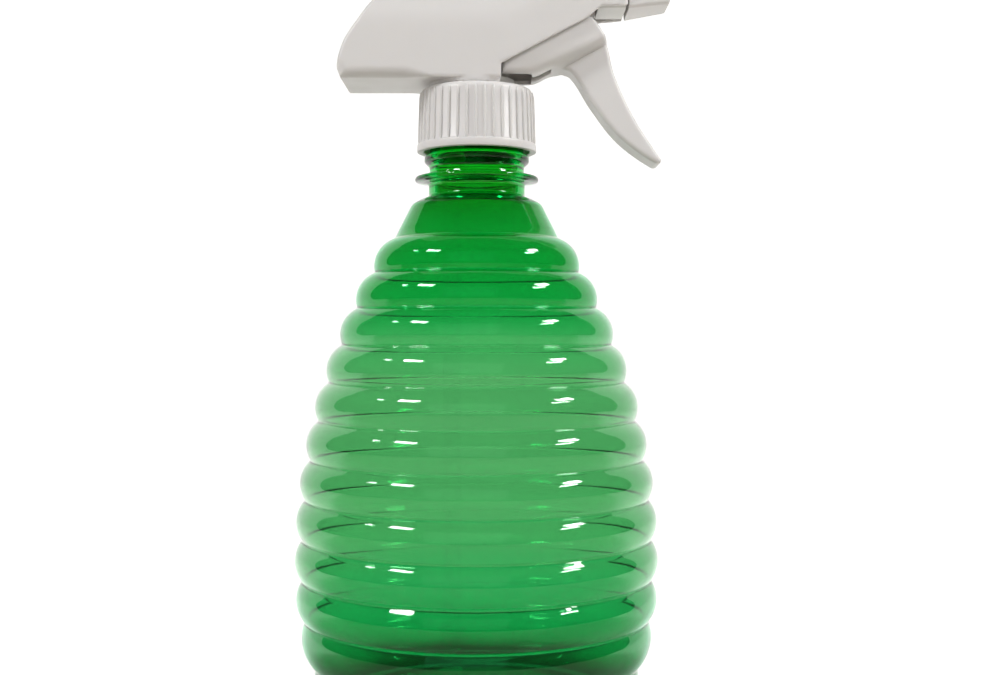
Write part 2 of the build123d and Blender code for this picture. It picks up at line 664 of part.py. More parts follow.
def build_shroud():
    with BuildPart() as shroud:
        add(shroud_block(0, SHROUD_FLOOR_Z, SHROUD_FRONT_X))
        # the lower front is cut away along the trigger
        with BuildSketch(Plane.XZ):
            with BuildLine():
                front_x = SHROUD_FRONT_X + PAST
                low_z = SHROUD_FLOOR_Z - PAST
                Polyline(
                    (EDGE_START[0], low_z), EDGE_START, EDGE_END, EDGE_NOSE, (front_x, EDGE_FRONT_Z),
                    (front_x, low_z), close=True)
            make_face()
        extrude(amount=HEAD_SPAN / 2, both=True, mode=Mode.SUBTRACT)
        add(shroud_block(SHROUD_WALL, SHROUD_FLOOR_Z + SHROUD_WALL, SHROUD_FRONT_X + PAST),
            mode=Mode.SUBTRACT)
        # rim over the collar
        with BuildSketch(Plane.XY.offset(LOCATING_RIM_Z)):
            Circle(LOCATING_RIM_R)
            with Locations((EDGE_START[0] + HEAD_SPAN / 2, 0)):
                Rectangle(HEAD_SPAN, HEAD_SPAN, mode=Mode.SUBTRACT)
        extrude(amount=SHROUD_FLOOR_Z + SHROUD_WALL - LOCATING_RIM_Z)
        # slot that lets the pump slide in from the front
        with BuildSketch(Plane.XY.offset(LOCATING_RIM_Z - PAST)):
            Circle(SLOT_HALF)
            with Locations((HEAD_SPAN / 2, 0)):
                Rectangle(HEAD_SPAN, 2 * SLOT_HALF)
        extrude(amount=SHROUD_FLOOR_Z + SHROUD_WALL - LOCATING_RIM_Z + 2 * PAST, mode=Mode.SUBTRACT)
    save(shroud.part, "shroud")


# ================================================================ trigger
TIP_Z = 142.6                      # lowest point of the lever
EDGE_LENGTH = sqrt((EDGE_END[0] - EDGE_START[0]) ** 2 + (EDGE_END[1] - EDGE_START[1]) ** 2)
EDGE_X = (EDGE_END[0] - EDGE_START[0]) / EDGE_LENGTH
EDGE_Z = (EDGE_END[1] - EDGE_START[1]) / EDGE_LENGTH
ALONG_EDGE = (EDGE_X, 0, EDGE_Z)


def trigger_plan(inset):
    """Plan outline that keeps the trigger clear of the shroud's inner walls."""
    taper = (SHROUD_HALF - SHROUD_FRONT_HALF) / (SHROUD_FRONT_X + 2 - SHROUD_TAPER_X)
    half = SHROUD_HALF - SHROUD_WALL - TRIGGER_GAP - inset
    narrow_x = 32.0
    narrow = half - taper * (narrow_x - SHROUD_TAPER_X)
    with BuildSketch(Plane.XY.offset(TIP_Z - 10)) as plan:
        with BuildLine():
            Polyline(
                (0, -half), (SHROUD_TAPER_X, -half), (narrow_x, -narrow), (60, -narrow),
                (60, narrow), (narrow_x, narrow), (SHROUD_TAPER_X, half), (0, half), close=True)
        make_face()
    return plan.sketch


def trigger_hollow():
    """Space between the cheeks, behind the front wall of the lever."""
    with BuildPart() as hollow:
        with BuildSketch(Plane.XZ.offset(-HEAD_SPAN / 2)) as side:
            with BuildLine():
                Polyline((0, 160), (23.5, 160), (25.6, 170), (28.0, 179.0),
                         (27.0, 192), (0, 192), close=True)
            make_face()
        extrude(side.sketch, amount=HEAD_SPAN, dir=(0, -1, 0))
        extrude(flare_section(CHEEK_WALL, 0), amount=2 * FLARE_REACH, dir=ALONG_EDGE, mode=Mode.INTERSECT)
        extrude(trigger_plan(CHEEK_WALL), amount=HEAD_LENGTH, dir=(0, 0, 1), mode=Mode.INTERSECT)
        # the underside stays closed beside the cylinder and round the plunger rod
        for side in (-1, 1):
            for points, clear_y in ((CYLINDER_FLOOR, CYLINDER_SLOT), (ROD_FLOOR, ROD_SLOT)):
                with BuildSketch(Plane.XZ.offset(-side * clear_y)) as floor:
                    with BuildLine():
                        Polyline(*points, close=True)
                    make_face()
                extrude(floor.sketch, amount=HEAD_SPAN / 2, dir=(0, side, 0), mode=Mode.SUBTRACT)
    return hollow.part


def trigger_side():
    """Side outline of cheeks and lever."""
    with BuildSketch(Plane.XZ.offset(-HEAD_SPAN / 2)) as side:
        with BuildLine():
            tip_front = (48.6, 143.6)
            tip_back = (47.0, TIP_Z)
            nose = (29.3, 181.3)
            heel = (14.7, 165.6)
            arch = (24.9, 166.7)
            Spline(nose, (33.7, 175.9), (36.3, 166.5), (41.6, 154.6), tip_front,
                   tangents=((0.75, -0.6), (0.55, -0.83)))
            ThreePointArc(tip_front, (48.4, 142.7), tip_back)
            Spline(tip_back, (37.7, 149.3), (30.1, 158.9), arch, tangents=((-0.86, 0.5), (-0.72, 0.69)))
            Spline(arch, (20.6, 167.7), heel, tangents=((-0.85, 0.52), (-1, 0)))
            Polyline(heel, (6.7, 165.7), (6.7, 169.5), (14.0, 174.0), (24.5, 182.5), nose)
        make_face()
    return side.sketch


def flare_section(inset, length):
    """Half widths against the distance below the shroud's edge, across the edge's direction."""
    plane = Plane(
        origin=(EDGE_START[0], 0, EDGE_START[1]), x_dir=(EDGE_Z, 0, -EDGE_X), z_dir=(EDGE_X, 0, EDGE_Z))
    with BuildSketch(plane.offset(-FLARE_REACH)) as section:
        with BuildLine():
            wide = CHEEK_HALF - inset
            narrow = STEM_HALF - inset
            flare = FLARE_LENGTH - inset
            turn = FLARE_START + flare * 0.707
            middle = narrow + (wide - narrow) * 0.707
            end = FLARE_START + flare
            behind = -14 + inset
            for side in (-1, 1):
                Line((behind, 0), (behind, side * wide))
                Line((behind, side * wide), (FLARE_START, side * wide))
                ThreePointArc((FLARE_START, side * wide), (turn, side * middle), (end, side * narrow))
                if length > end:
                    Line((end, side * narrow), (length, side * (TIP_HALF + 0.3)))
                    Line((length, side * (TIP_HALF + 0.3)), (length, 0))
                else:
                    Line((end, side * narrow), (end, 0))
        make_face()
    return section.sketch


def build_trigger():
    """Lever with two cheeks, a push rib for the plunger and two arms up to the trunnions."""
    with BuildPart() as trigger:
        extrude(trigger_side(), amount=HEAD_SPAN, dir=(0, -1, 0))
        extrude(flare_section(0, LEVER_LENGTH), amount=2 * FLARE_REACH, dir=ALONG_EDGE, mode=Mode.INTERSECT)
        extrude(trigger_plan(0), amount=HEAD_LENGTH, dir=(0, 0, 1), mode=Mode.INTERSECT)
        add(trigger_hollow(), mode=Mode.SUBTRACT)
        # push rib
        with BuildSketch(Plane.XY.offset(PUSH_RIB_Z)):
            with Locations((PUSH_FACE_X + PUSH_RIB / 2, 0)):
                Rectangle(PUSH_RIB, 2 * (CHEEK_HALF - 1.6))
        extrude(amount=PUSH_RIB_HEIGHT)
        # arms
        for side in (-1, 1):
            arm_y = side * (ARM_INNER_Y + ARM_OUTER_Y) / 2
            arm = Plane((0, arm_y, 0), x_dir=(1, 0, 0), z_dir=(0, -1, 0))
            with BuildSketch(arm):
                with BuildLine():
                    Polyline((23.4, PIVOT_Z), (22.5, 179.0), (28.5, 178.0), (31.2, 181.0),
                             (30.6, PIVOT_Z), close=True)
                make_face()
                with Locations((PIVOT_X, PIVOT_Z)):
                    Circle(3.6)
            extrude(amount=(ARM_OUTER_Y - ARM_INNER_Y) / 2, both=True)
        with BuildSketch(Plane((PIVOT_X, 0, PIVOT_Z), x_dir=(1, 0, 0), z_dir=(0, 1, 0))):
            Circle(TRUNNION_R + PIVOT_FIT)
        extrude(amount=HEAD_SPAN / 2, both=True, mode=Mode.SUBTRACT)
    save(trigger.part, "trigger")


build_bottle()
build_collar()
build_gasket()
build_pump_body()
build_nozzle_seal()
build_tube_adapter()
build_inlet_ball()
build_dip_tube()
build_strainer()
build_passage_plug()
build_cylinder_guide()
build_plunger_rod()
build_plunger_cup()
build_return_spring()
build_outlet_valve()
build_outlet_spring()
build_spinner()
build_nozzle_cap()
build_shroud()
build_trigger()
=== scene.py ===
from math import cos, pi, radians, sin, sqrt

import bmesh
import bpy
import numpy as np
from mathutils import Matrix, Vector


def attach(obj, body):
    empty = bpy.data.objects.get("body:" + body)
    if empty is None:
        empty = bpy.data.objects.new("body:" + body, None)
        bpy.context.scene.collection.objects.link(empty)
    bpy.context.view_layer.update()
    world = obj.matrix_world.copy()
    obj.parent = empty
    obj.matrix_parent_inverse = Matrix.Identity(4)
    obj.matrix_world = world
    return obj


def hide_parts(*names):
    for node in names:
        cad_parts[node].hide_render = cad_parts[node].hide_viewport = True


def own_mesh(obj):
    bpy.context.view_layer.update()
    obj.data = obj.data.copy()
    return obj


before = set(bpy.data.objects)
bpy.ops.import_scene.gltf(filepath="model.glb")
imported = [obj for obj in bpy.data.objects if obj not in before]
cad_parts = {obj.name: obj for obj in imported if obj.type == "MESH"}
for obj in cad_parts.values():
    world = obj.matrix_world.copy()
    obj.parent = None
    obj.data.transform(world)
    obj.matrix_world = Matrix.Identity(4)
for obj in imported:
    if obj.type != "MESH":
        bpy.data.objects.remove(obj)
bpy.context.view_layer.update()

# Trigger spray bottle. Metres in the scene; shapes below are drawn in millimetres and scaled by MM.
MM = 0.001

# ---------------------------------------------------------------- camera
camera_data = bpy.data.cameras.new("camera")
camera = bpy.data.objects.new("camera", camera_data)
bpy.context.scene.collection.objects.link(camera)
camera.location = (0.0062, -0.3447, 0.0967)
camera.rotation_euler = (radians(90), 0, 0)
camera_data.sensor_width = 36.0
camera_data.lens = 46.44
camera_data.clip_start = 0.01
bpy.context.scene.camera = camera
bpy.context.scene.view_settings.view_transform = "Standard"


# ================================================================ mesh tools
def new_object(name, mesh):
    piece = bpy.data.objects.new(name, mesh)
    bpy.context.scene.collection.objects.link(piece)
    return piece


def mesh_from(name, points_mm, faces, sharp_deg=None):
    """A smooth mesh from points in millimetres."""
    mesh = bpy.data.meshes.new(name)
    mesh.from_pydata([tuple(p) for p in np.asarray(points_mm) * MM], [], faces)
    mesh.update()
    mesh.shade_smooth()
    if sharp_deg is not None:
        mesh.set_sharp_from_angle(angle=radians(sharp_deg))
    return mesh


def turned(name, outline, segments, lift=None, sharp_deg=None):
    """A closed outline of (radius, height) turned about Z. The outline runs from pole to pole, or it is a
    loop when it doesn't start on the axis. lift(radius, height, angle) may move the radius."""
    outline = np.array(outline, float)
    angle = np.arange(segments) * 2 * pi / segments
    on_axis = outline[0, 0] < 1e-6
    rows = outline[1:-1] if on_axis else outline
    radius = np.repeat(rows[:, :1], segments, axis=1)
    height = np.repeat(rows[:, 1:], segments, axis=1)
    if lift is not None:
        radius = radius + lift(radius, height, angle[None, :])
    points = np.stack([radius * np.cos(angle), radius * np.sin(angle), height], -1).reshape(-1, 3)
    count = len(rows)
    here = np.arange(segments)
    after = (here + 1) % segments
    last = count - 1 if on_axis else count
    faces = []
    for row in range(last):
        upper = (row + 1) % count
        faces += np.stack(
            [row * segments + here, row * segments + after, upper * segments + after,
             upper * segments + here], -1).tolist()
    if on_axis:
        first_pole = len(points)
        points = np.vstack([points, [0, 0, outline[0, 1]], [0, 0, outline[-1, 1]]])
        end = (count - 1) * segments
        faces += [[first_pole, int(b), int(a)] for a, b in zip(here, after)]
        faces += [[first_pole + 1, int(end + a), int(end + b)] for a, b in zip(here, after)]
    return mesh_from(name, points, faces, sharp_deg)


def surface_where_zero(name, field, low, high, step, sharp_deg=None):
    """A closed mesh of the surface where field(x, y, z) is zero. The field is negative inside, and its
    value is close to the distance from the surface. All lengths are in millimetres."""
    axes = [np.arange(a, b + step, step) for a, b in zip(low, high)]
    grid = np.meshgrid(*axes, indexing="ij", sparse=True)
    value = np.array(np.broadcast_to(field(*grid), [len(a) for a in axes]), np.float32)
    size = value.shape
    corners = [(i, j, k) for i in (0, 1) for j in (0, 1) for k in (0, 1)]

    def shifted(corner):
        return value[tuple(slice(c, n - 1 + c) for c, n in zip(corner, size))]

    inside = sum((shifted(c) < 0).astype(np.int8) for c in corners)
    cells = np.argwhere((inside > 0) & (inside < 8))
    number = np.full(tuple(n - 1 for n in size), -1, np.int64)
    number[tuple(cells.T)] = np.arange(len(cells))
    at = {c: value[tuple((cells + c).T)] for c in corners}
    total = np.zeros((len(cells), 3))
    crossings = np.zeros(len(cells))
    for axis in range(3):
        for start in corners:
            if start[axis]:
                continue
            end = tuple(1 if n == axis else c for n, c in enumerate(start))
            a, b = at[start], at[end]
            crossed = (a < 0) != (b < 0)
            share = np.where(crossed, a / np.where(crossed, a - b, 1), 0)
            for n in range(3):
                total[:, n] += crossed * (share if n == axis else start[n])
            crossings += crossed
    points = np.array(low) + (cells + total / crossings[:, None]) * step
    faces = []
    for axis in range(3):
        u, v = (axis + 1) % 3, (axis + 2) % 3
        near = [slice(None)] * 3
        far = [slice(None)] * 3
        near[axis], far[axis] = slice(0, -1), slice(1, None)
        crossed = np.argwhere((value[tuple(near)] < 0) != (value[tuple(far)] < 0))
        crossed = crossed[(crossed[:, u] > 0) & (crossed[:, v] > 0)]
        crossed = crossed[(crossed[:, u] < size[u] - 1) & (crossed[:, v] < size[v] - 1)]
        ring = []
        for du, dv in ((-1, -1), (0, -1), (0, 0), (-1, 0)):
            cell = crossed.copy()
            cell[:, u] += du
            cell[:, v] += dv
            ring.append(number[tuple(cell.T)])
        ring = np.stack(ring, -1)
        flip = value[tuple(crossed.T)] >= 0
        ring[flip] = ring[flip][:, ::-1]
        faces += ring.tolist()
    # settle each point on the true surface
    gap = 0.02
    for _ in range(3):
        here = field(*points.T)
        slope = np.stack([(field(*(points + d).T) - field(*(points - d).T)) / (2 * gap)
                          for d in np.eye(3) * gap], -1)
        move = here / np.maximum((slope ** 2).sum(-1), 0.25)
        move = np.clip(move, -0.3 * step, 0.3 * step)
        points = points - slope * move[:, None]
    return mesh_from(name, points, faces, sharp_deg)


# ---------------------------------------------------------------- distance fields, in millimetres
def distance_to_outline(outline, a, b):
    """Signed distance from points (a, b) to a closed outline, negative inside."""
    outline = np.array(outline, float)
    a, b = np.broadcast_arrays(np.asarray(a, float), np.asarray(b, float))
    nearest = np.full(a.shape, 1e9)
    inside = np.zeros(a.shape, bool)
    for (ax, ay), (bx, by) in zip(outline, np.roll(outline, -1, 0)):
        ex, ey = bx - ax, by - ay
        length = ex * ex + ey * ey
        if length < 1e-12:
            continue
        share = np.clip(((a - ax) * ex + (b - ay) * ey) / length, 0, 1)
        nearest = np.minimum(nearest, (a - ax - share * ex) ** 2 + (b - ay - share * ey) ** 2)
        spans = (ay > b) != (by > b)
        with np.errstate(divide="ignore", invalid="ignore"):
            inside ^= spans & (a < ax + (b - ay) * ex / (ey if ey else 1e-12))
    return np.where(inside, -1, 1) * np.sqrt(nearest)


def meet(a, b, rounding):
    """What lies inside both shapes, with the edge between them rounded."""
    rounding = np.maximum(rounding, 1e-3)
    return np.minimum(np.maximum(a, b), -rounding) + np.sqrt(
        np.maximum(a + rounding, 0) ** 2 + np.maximum(b + rounding, 0) ** 2)


def crease(a, b, width):
    """What lies inside both shapes where they meet at a shallow angle, with a soft line between them."""
    return np.maximum(a, b) + np.maximum(width - np.abs(a - b), 0) ** 2 / (4 * width)


def join(a, b, rounding):
    """What lies inside either shape, with a fillet between them."""
    return -meet(-a, -b, rounding)


def cut(a, b, rounding):
    """The first shape without the second."""
    return meet(a, -b, rounding)


def curve_through(points, start, end, count):
    """Points on a smooth curve through the given ones, with its directions at the two ends."""
    points = np.array(points, float)
    along = np.concatenate([[0], np.cumsum(np.linalg.norm(np.diff(points, axis=0), axis=1))])
    slopes = np.zeros_like(points)
    for n in range(1, len(points) - 1):
        before = (points[n] - points[n - 1]) / (along[n] - along[n - 1])
        after = (points[n + 1] - points[n]) / (along[n + 1] - along[n])
        share = (along[n] - along[n - 1]) / (along[n + 1] - along[n - 1])
        slopes[n] = before * (1 - share) + after * share
    slopes[0] = np.array(start) / np.linalg.norm(start)
    slopes[-1] = np.array(end) / np.linalg.norm(end)
    result = []
    for n in range(len(points) - 1):
        span = along[n + 1] - along[n]
        t = np.linspace(0, 1, count, endpoint=False)[:, None]
        result.append(
            (2 * t ** 3 - 3 * t ** 2 + 1) * points[n] + (t ** 3 - 2 * t ** 2 + t) * span * slopes[n]
            + (3 * t ** 2 - 2 * t ** 3) * points[n + 1] + (t ** 3 - t ** 2) * span * slopes[n + 1])
    result.append(points[-1:])
    return np.vstack(result)


def arc(centre, radius, start_deg, end_deg, count):
    """Points on an arc, as (first, second) coordinates."""
    turn = np.radians(np.linspace(start_deg, end_deg, count))
    return np.stack([centre[0] + radius * np.cos(turn), centre[1] + radius * np.sin(turn)], -1)


# ================================================================ bottle
ENVELOPE_R, BELLY_R, BELLY_Z = 160.0, 46.2, 38.3
RING_PITCH, RING_COUNT, BELLY_RING, RING_BULGE = 10.5, 11, 8.5, 2.05
RING_POINTS, GROOVE_SHARE, GROOVE_LIFT = 17, 0.028, 0.05
HEEL_R, HEEL_GROOVE_Z, HEEL_ROUND = 42.9, 10.6, 5.0
STAND_R, PUSH_UP = 34.0, 4.0
SHOULDER_CORNER = (17.6, 131.6)
WALL, INNER_SHOULDER_Z = 0.7, 132.6
NECK_BORE_R, NECK_TOP_Z, LIP_ROUND = 10.87, 159.5, 0.6
THREAD_PITCH, THREAD_ROOT_R, THREAD_CREST_R = 3.18, 12.47, 13.7
THREAD_START_Z, THREAD_TURNS, THREAD_FOOT_HALF, THREAD_SLOPE = 150.3, 1.5, 1.05, 0.55
BOTTLE_SEGMENTS = 200


def groove_bottom(number):
    """The grooves lie on a large arc that is widest at the belly."""
    turn = (BELLY_RING - number) * RING_PITCH / ENVELOPE_R
    return np.array([BELLY_R - ENVELOPE_R + ENVELOPE_R * cos(turn), BELLY_Z + ENVELOPE_R * sin(turn)])


def ring_outline():
    """Rings from the shoulder groove down to the heel, each a round arc, with soft grooves between."""
    grooves = [groove_bottom(n) for n in range(RING_COUNT)] + [np.array([HEEL_R, HEEL_GROOVE_Z])]
    points = []
    for n in range(RING_COUNT):
        upper, lower = grooves[n], grooves[n + 1]
        chord = np.linalg.norm(lower - upper)
        out = np.array([upper[1] - lower[1], lower[0] - upper[0]]) / chord
        radius = (chord ** 2 / 4 + RING_BULGE ** 2) / (2 * RING_BULGE)
        centre = (upper + lower) / 2 - out * (radius - RING_BULGE)
        from_start = upper - centre
        from_end = lower - centre
        first = np.arctan2(from_start[1], from_start[0])
        last = np.arctan2(from_end[1], from_end[0])
        for share in np.linspace(GROOVE_SHARE, 1 - GROOVE_SHARE, RING_POINTS):
            turn = first + (last - first) * share
            points.append(centre + radius * np.array([cos(turn), sin(turn)]))
        if n < RING_COUNT - 1:
            # the groove itself is a tight curve between the two arcs
            points.append(lower + out * GROOVE_LIFT)
    return points


def bottle_outline():
    """Outer line from the middle of the base up to the lip, then the inner line back down."""
    dome_r = (STAND_R ** 2 + PUSH_UP ** 2) / (2 * PUSH_UP)
    base = [np.array([r, PUSH_UP - dome_r + sqrt(dome_r ** 2 - r ** 2)])
            for r in np.linspace(0, STAND_R, 14)]
    heel = [np.array(p) for p in arc((HEEL_R - HEEL_ROUND, HEEL_ROUND), HEEL_ROUND, -90, 0, 9)]
    wall = [np.array([HEEL_R, z]) for z in np.linspace(HEEL_ROUND, HEEL_GROOVE_Z - 0.7, 5)[1:]]
    wall.append(np.array([HEEL_R + 0.12, HEEL_GROOVE_Z - 0.15]))
    rings = ring_outline()[::-1]
    top_groove = groove_bottom(0)
    corner = np.array(SHOULDER_CORNER)
    cone = corner - top_groove
    shoulder = [top_groove + cone * s for s in (0.03, 0.25, 0.5, 0.75)]
    bend = [tuple(corner - cone * 0.10), (17.15, 132.1), (16.2, 132.75), (13.6, 133.9)]
    shoulder += [np.array(p) for p in curve_through(bend, tuple(cone), (-1, 0.3), 5)]
    neck = [(13.0, 134.2), (12.85, 134.8), (12.85, 136.3), (12.85, 137.1), (13.1, 137.45)]
    ring = [(14.6, 137.75), (16.1, 138.0), (16.42, 138.25), (16.5, 138.6), (16.46, 139.0), (16.25, 139.3),
            (15.9, 139.4), (14.0, 139.45), (12.95, 139.55), (12.68, 139.8)]
    bead = [(12.65, 141.0), (12.65, 141.7), (12.8, 142.1), (13.6, 142.9), (13.9, 143.2), (14.0, 143.5),
            (14.0, 144.5), (13.9, 144.8), (13.6, 144.95), (12.7, 145.0), (12.5, 145.2)]
    finish = [(THREAD_ROOT_R, z) for z in np.linspace(145.6, 158.6, 66)]
    lip_centre = (THREAD_ROOT_R - LIP_ROUND, NECK_TOP_Z - LIP_ROUND)
    lip = [tuple(p) for p in arc(lip_centre, LIP_ROUND, 0, 90, 5)]
    outer = base + heel + wall + rings + shoulder + [np.array(p) for p in neck + ring + bead + finish + lip]
    body = np.array(base + heel + wall + rings + shoulder)
    tangent = np.gradient(body, axis=0)
    tangent /= np.linalg.norm(tangent, axis=1)[:, None]
    inner = body + np.stack([-tangent[:, 1], tangent[:, 0]], -1) * WALL
    inner[0, 0] = 0.0
    keep = inner[:, 1] < INNER_SHOULDER_Z
    bore = [(NECK_BORE_R + 0.5, NECK_TOP_Z), (NECK_BORE_R + 0.1, 159.3), (NECK_BORE_R, 158.9)]
    bore += [(NECK_BORE_R, z) for z in (155.0, 150.0, 145.0, 140.0, 136.0, 134.2)]
    bore += [(11.2, 133.4), (12.4, 132.9)]
    return [tuple(p) for p in outer] + bore + [tuple(p) for p in inner[keep][::-1]]


def thread_lift(radius, height, angle):
    """Raises the neck's outside into the thread's helical ridge."""
    outside = (np.abs(radius - THREAD_ROOT_R) < 0.02) & (height > 145.5)
    turns = angle / (2 * pi)
    nearest = np.full(np.broadcast(height, angle).shape, 1e9)
    fade = np.zeros_like(nearest)
    for lap in (0, 1):
        along = turns + lap
        middle = THREAD_START_Z + along * THREAD_PITCH
        off = np.abs(height - middle)
        # the ridge fades out over a short way at both ends
        run_out = np.clip(np.minimum(along + 0.03, THREAD_TURNS - along) / 0.06, 0, 1)
        closer = (off < nearest) & (run_out > 0)
        nearest = np.where(closer, off, nearest)
        fade = np.where(closer, run_out, fade)
    ridge = np.clip((THREAD_FOOT_HALF - nearest) / THREAD_SLOPE, 0, 1)
    smooth = ridge * ridge * (3 - 2 * ridge)
    return np.where(outside, smooth * fade * (THREAD_CREST_R - THREAD_ROOT_R), 0)


# ================================================================ collar
COLLAR_BOTTOM_Z, COLLAR_TOP_Z, COLLAR_CEILING_Z = 145.9, 162.6, 161.5
COLLAR_BORE_R, COLLAR_THROAT_R, COLLAR_SEGMENTS = 14.05, 10.6, 160
RIDGE_FOOT_R, RIDGE_TURNS, RIDGE_STEPS, RIDGE_DROP = 14.2, 1.25, 120, 0.05
RIB_COUNT, RIB_FOOT_R, RIB_FOOT_Z, RIB_LENGTH, RIB_WIDTH, RIB_LEAN = 40, 15.4, 148.0, 13.7, 0.78, 0.033


def collar_outline():
    """A foot band, a slightly conical wall, the top with its throat, and the bore."""
    foot = [
        (14.35, COLLAR_BOTTOM_Z), (15.6, COLLAR_BOTTOM_Z), (15.85, 146.0), (15.93, 146.25),
        (15.9, 147.7), (15.8, 147.95), (15.45, 148.05)]
    wall = [(15.28, 148.3), (14.86, 161.2), (14.75, 161.7), (14.4, 162.35), (14.0, COLLAR_TOP_Z)]
    throat = [
        (10.9, COLLAR_TOP_Z), (10.62, 162.45), (COLLAR_THROAT_R, 162.0), (COLLAR_THROAT_R, 161.6),
        (10.8, COLLAR_CEILING_Z)]
    bore = [
        (13.9, COLLAR_CEILING_Z), (COLLAR_BORE_R, 161.3), (COLLAR_BORE_R, 150.0), (COLLAR_BORE_R, 146.4),
        (14.15, 146.05)]
    return foot + wall + throat + bore


def collar_thread():
    """The ridge inside the collar, as a closed helical bar that is drawn in at both ends."""
    start_z = THREAD_START_Z - THREAD_PITCH / 2 - RIDGE_DROP
    upper_side = [(RIDGE_FOOT_R, 0.75), (12.95, 0.38), (12.85, 0.3)]
    section = [(r, -z) for r, z in upper_side] + upper_side[::-1]
    sides = len(section)
    points, faces = [], []
    for n in range(RIDGE_STEPS + 1):
        along = RIDGE_TURNS * n / RIDGE_STEPS
        turn = 2 * pi * along
        squeeze = min(1.0, min(n, RIDGE_STEPS - n) / 5 + 0.12)
        for r, z in section:
            reach = RIDGE_FOOT_R - (RIDGE_FOOT_R - r) * squeeze
            level = start_z + along * THREAD_PITCH + z * squeeze
            points.append((reach * cos(turn), reach * sin(turn), level))
    for n in range(RIDGE_STEPS):
        for k in range(sides):
            after = (k + 1) % sides
            faces.append([n * sides + k, n * sides + after, (n + 1) * sides + after, (n + 1) * sides + k])
    faces.append(list(range(sides))[::-1])
    faces.append([RIDGE_STEPS * sides + k for k in range(sides)])
    return points, faces


# ---------------------------------------------------------------- node tools
def group_input(tree, name, kind, value):
    socket = tree.interface.new_socket(name=name, in_out="INPUT", socket_type=kind)
    socket.default_value = value


def wire(tree, source, output, target, name):
    tree.links.new(source.outputs[output], target.inputs[name])


def feed(tree, value, socket):
    """Links another node's output to a socket, or sets the socket to a plain value."""
    if isinstance(value, bpy.types.NodeSocket):
        tree.links.new(value, socket)
    else:
        socket.default_value = value


def worked_out(tree, operation, first, second):
    """The result of one operation on two values."""
    node = tree.nodes.new("ShaderNodeMath")
    node.operation = operation
    feed(tree, first, node.inputs[0])
    feed(tree, second, node.inputs[1])
    return node.outputs[0]


def mapped(tree, value, start, end, low=0.0, high=1.0, smooth=False):
    """Turns the range from start to end into the range from low to high."""
    node = tree.nodes.new("ShaderNodeMapRange")
    if smooth:
        node.interpolation_type = "SMOOTHSTEP"
    node.inputs["From Min"].default_value = start
    node.inputs["From Max"].default_value = end
    node.inputs["To Min"].default_value = low
    node.inputs["To Max"].default_value = high
    tree.links.new(value, node.inputs["Value"])
    return node.outputs["Result"]


def colour_between(tree, share, first, second):
    node = tree.nodes.new("ShaderNodeMix")
    node.data_type = "RGBA"
    feed(tree, share, node.inputs["Factor"])
    feed(tree, first, node.inputs["A"])
    feed(tree, second, node.inputs["B"])
    return node.outputs["Result"]


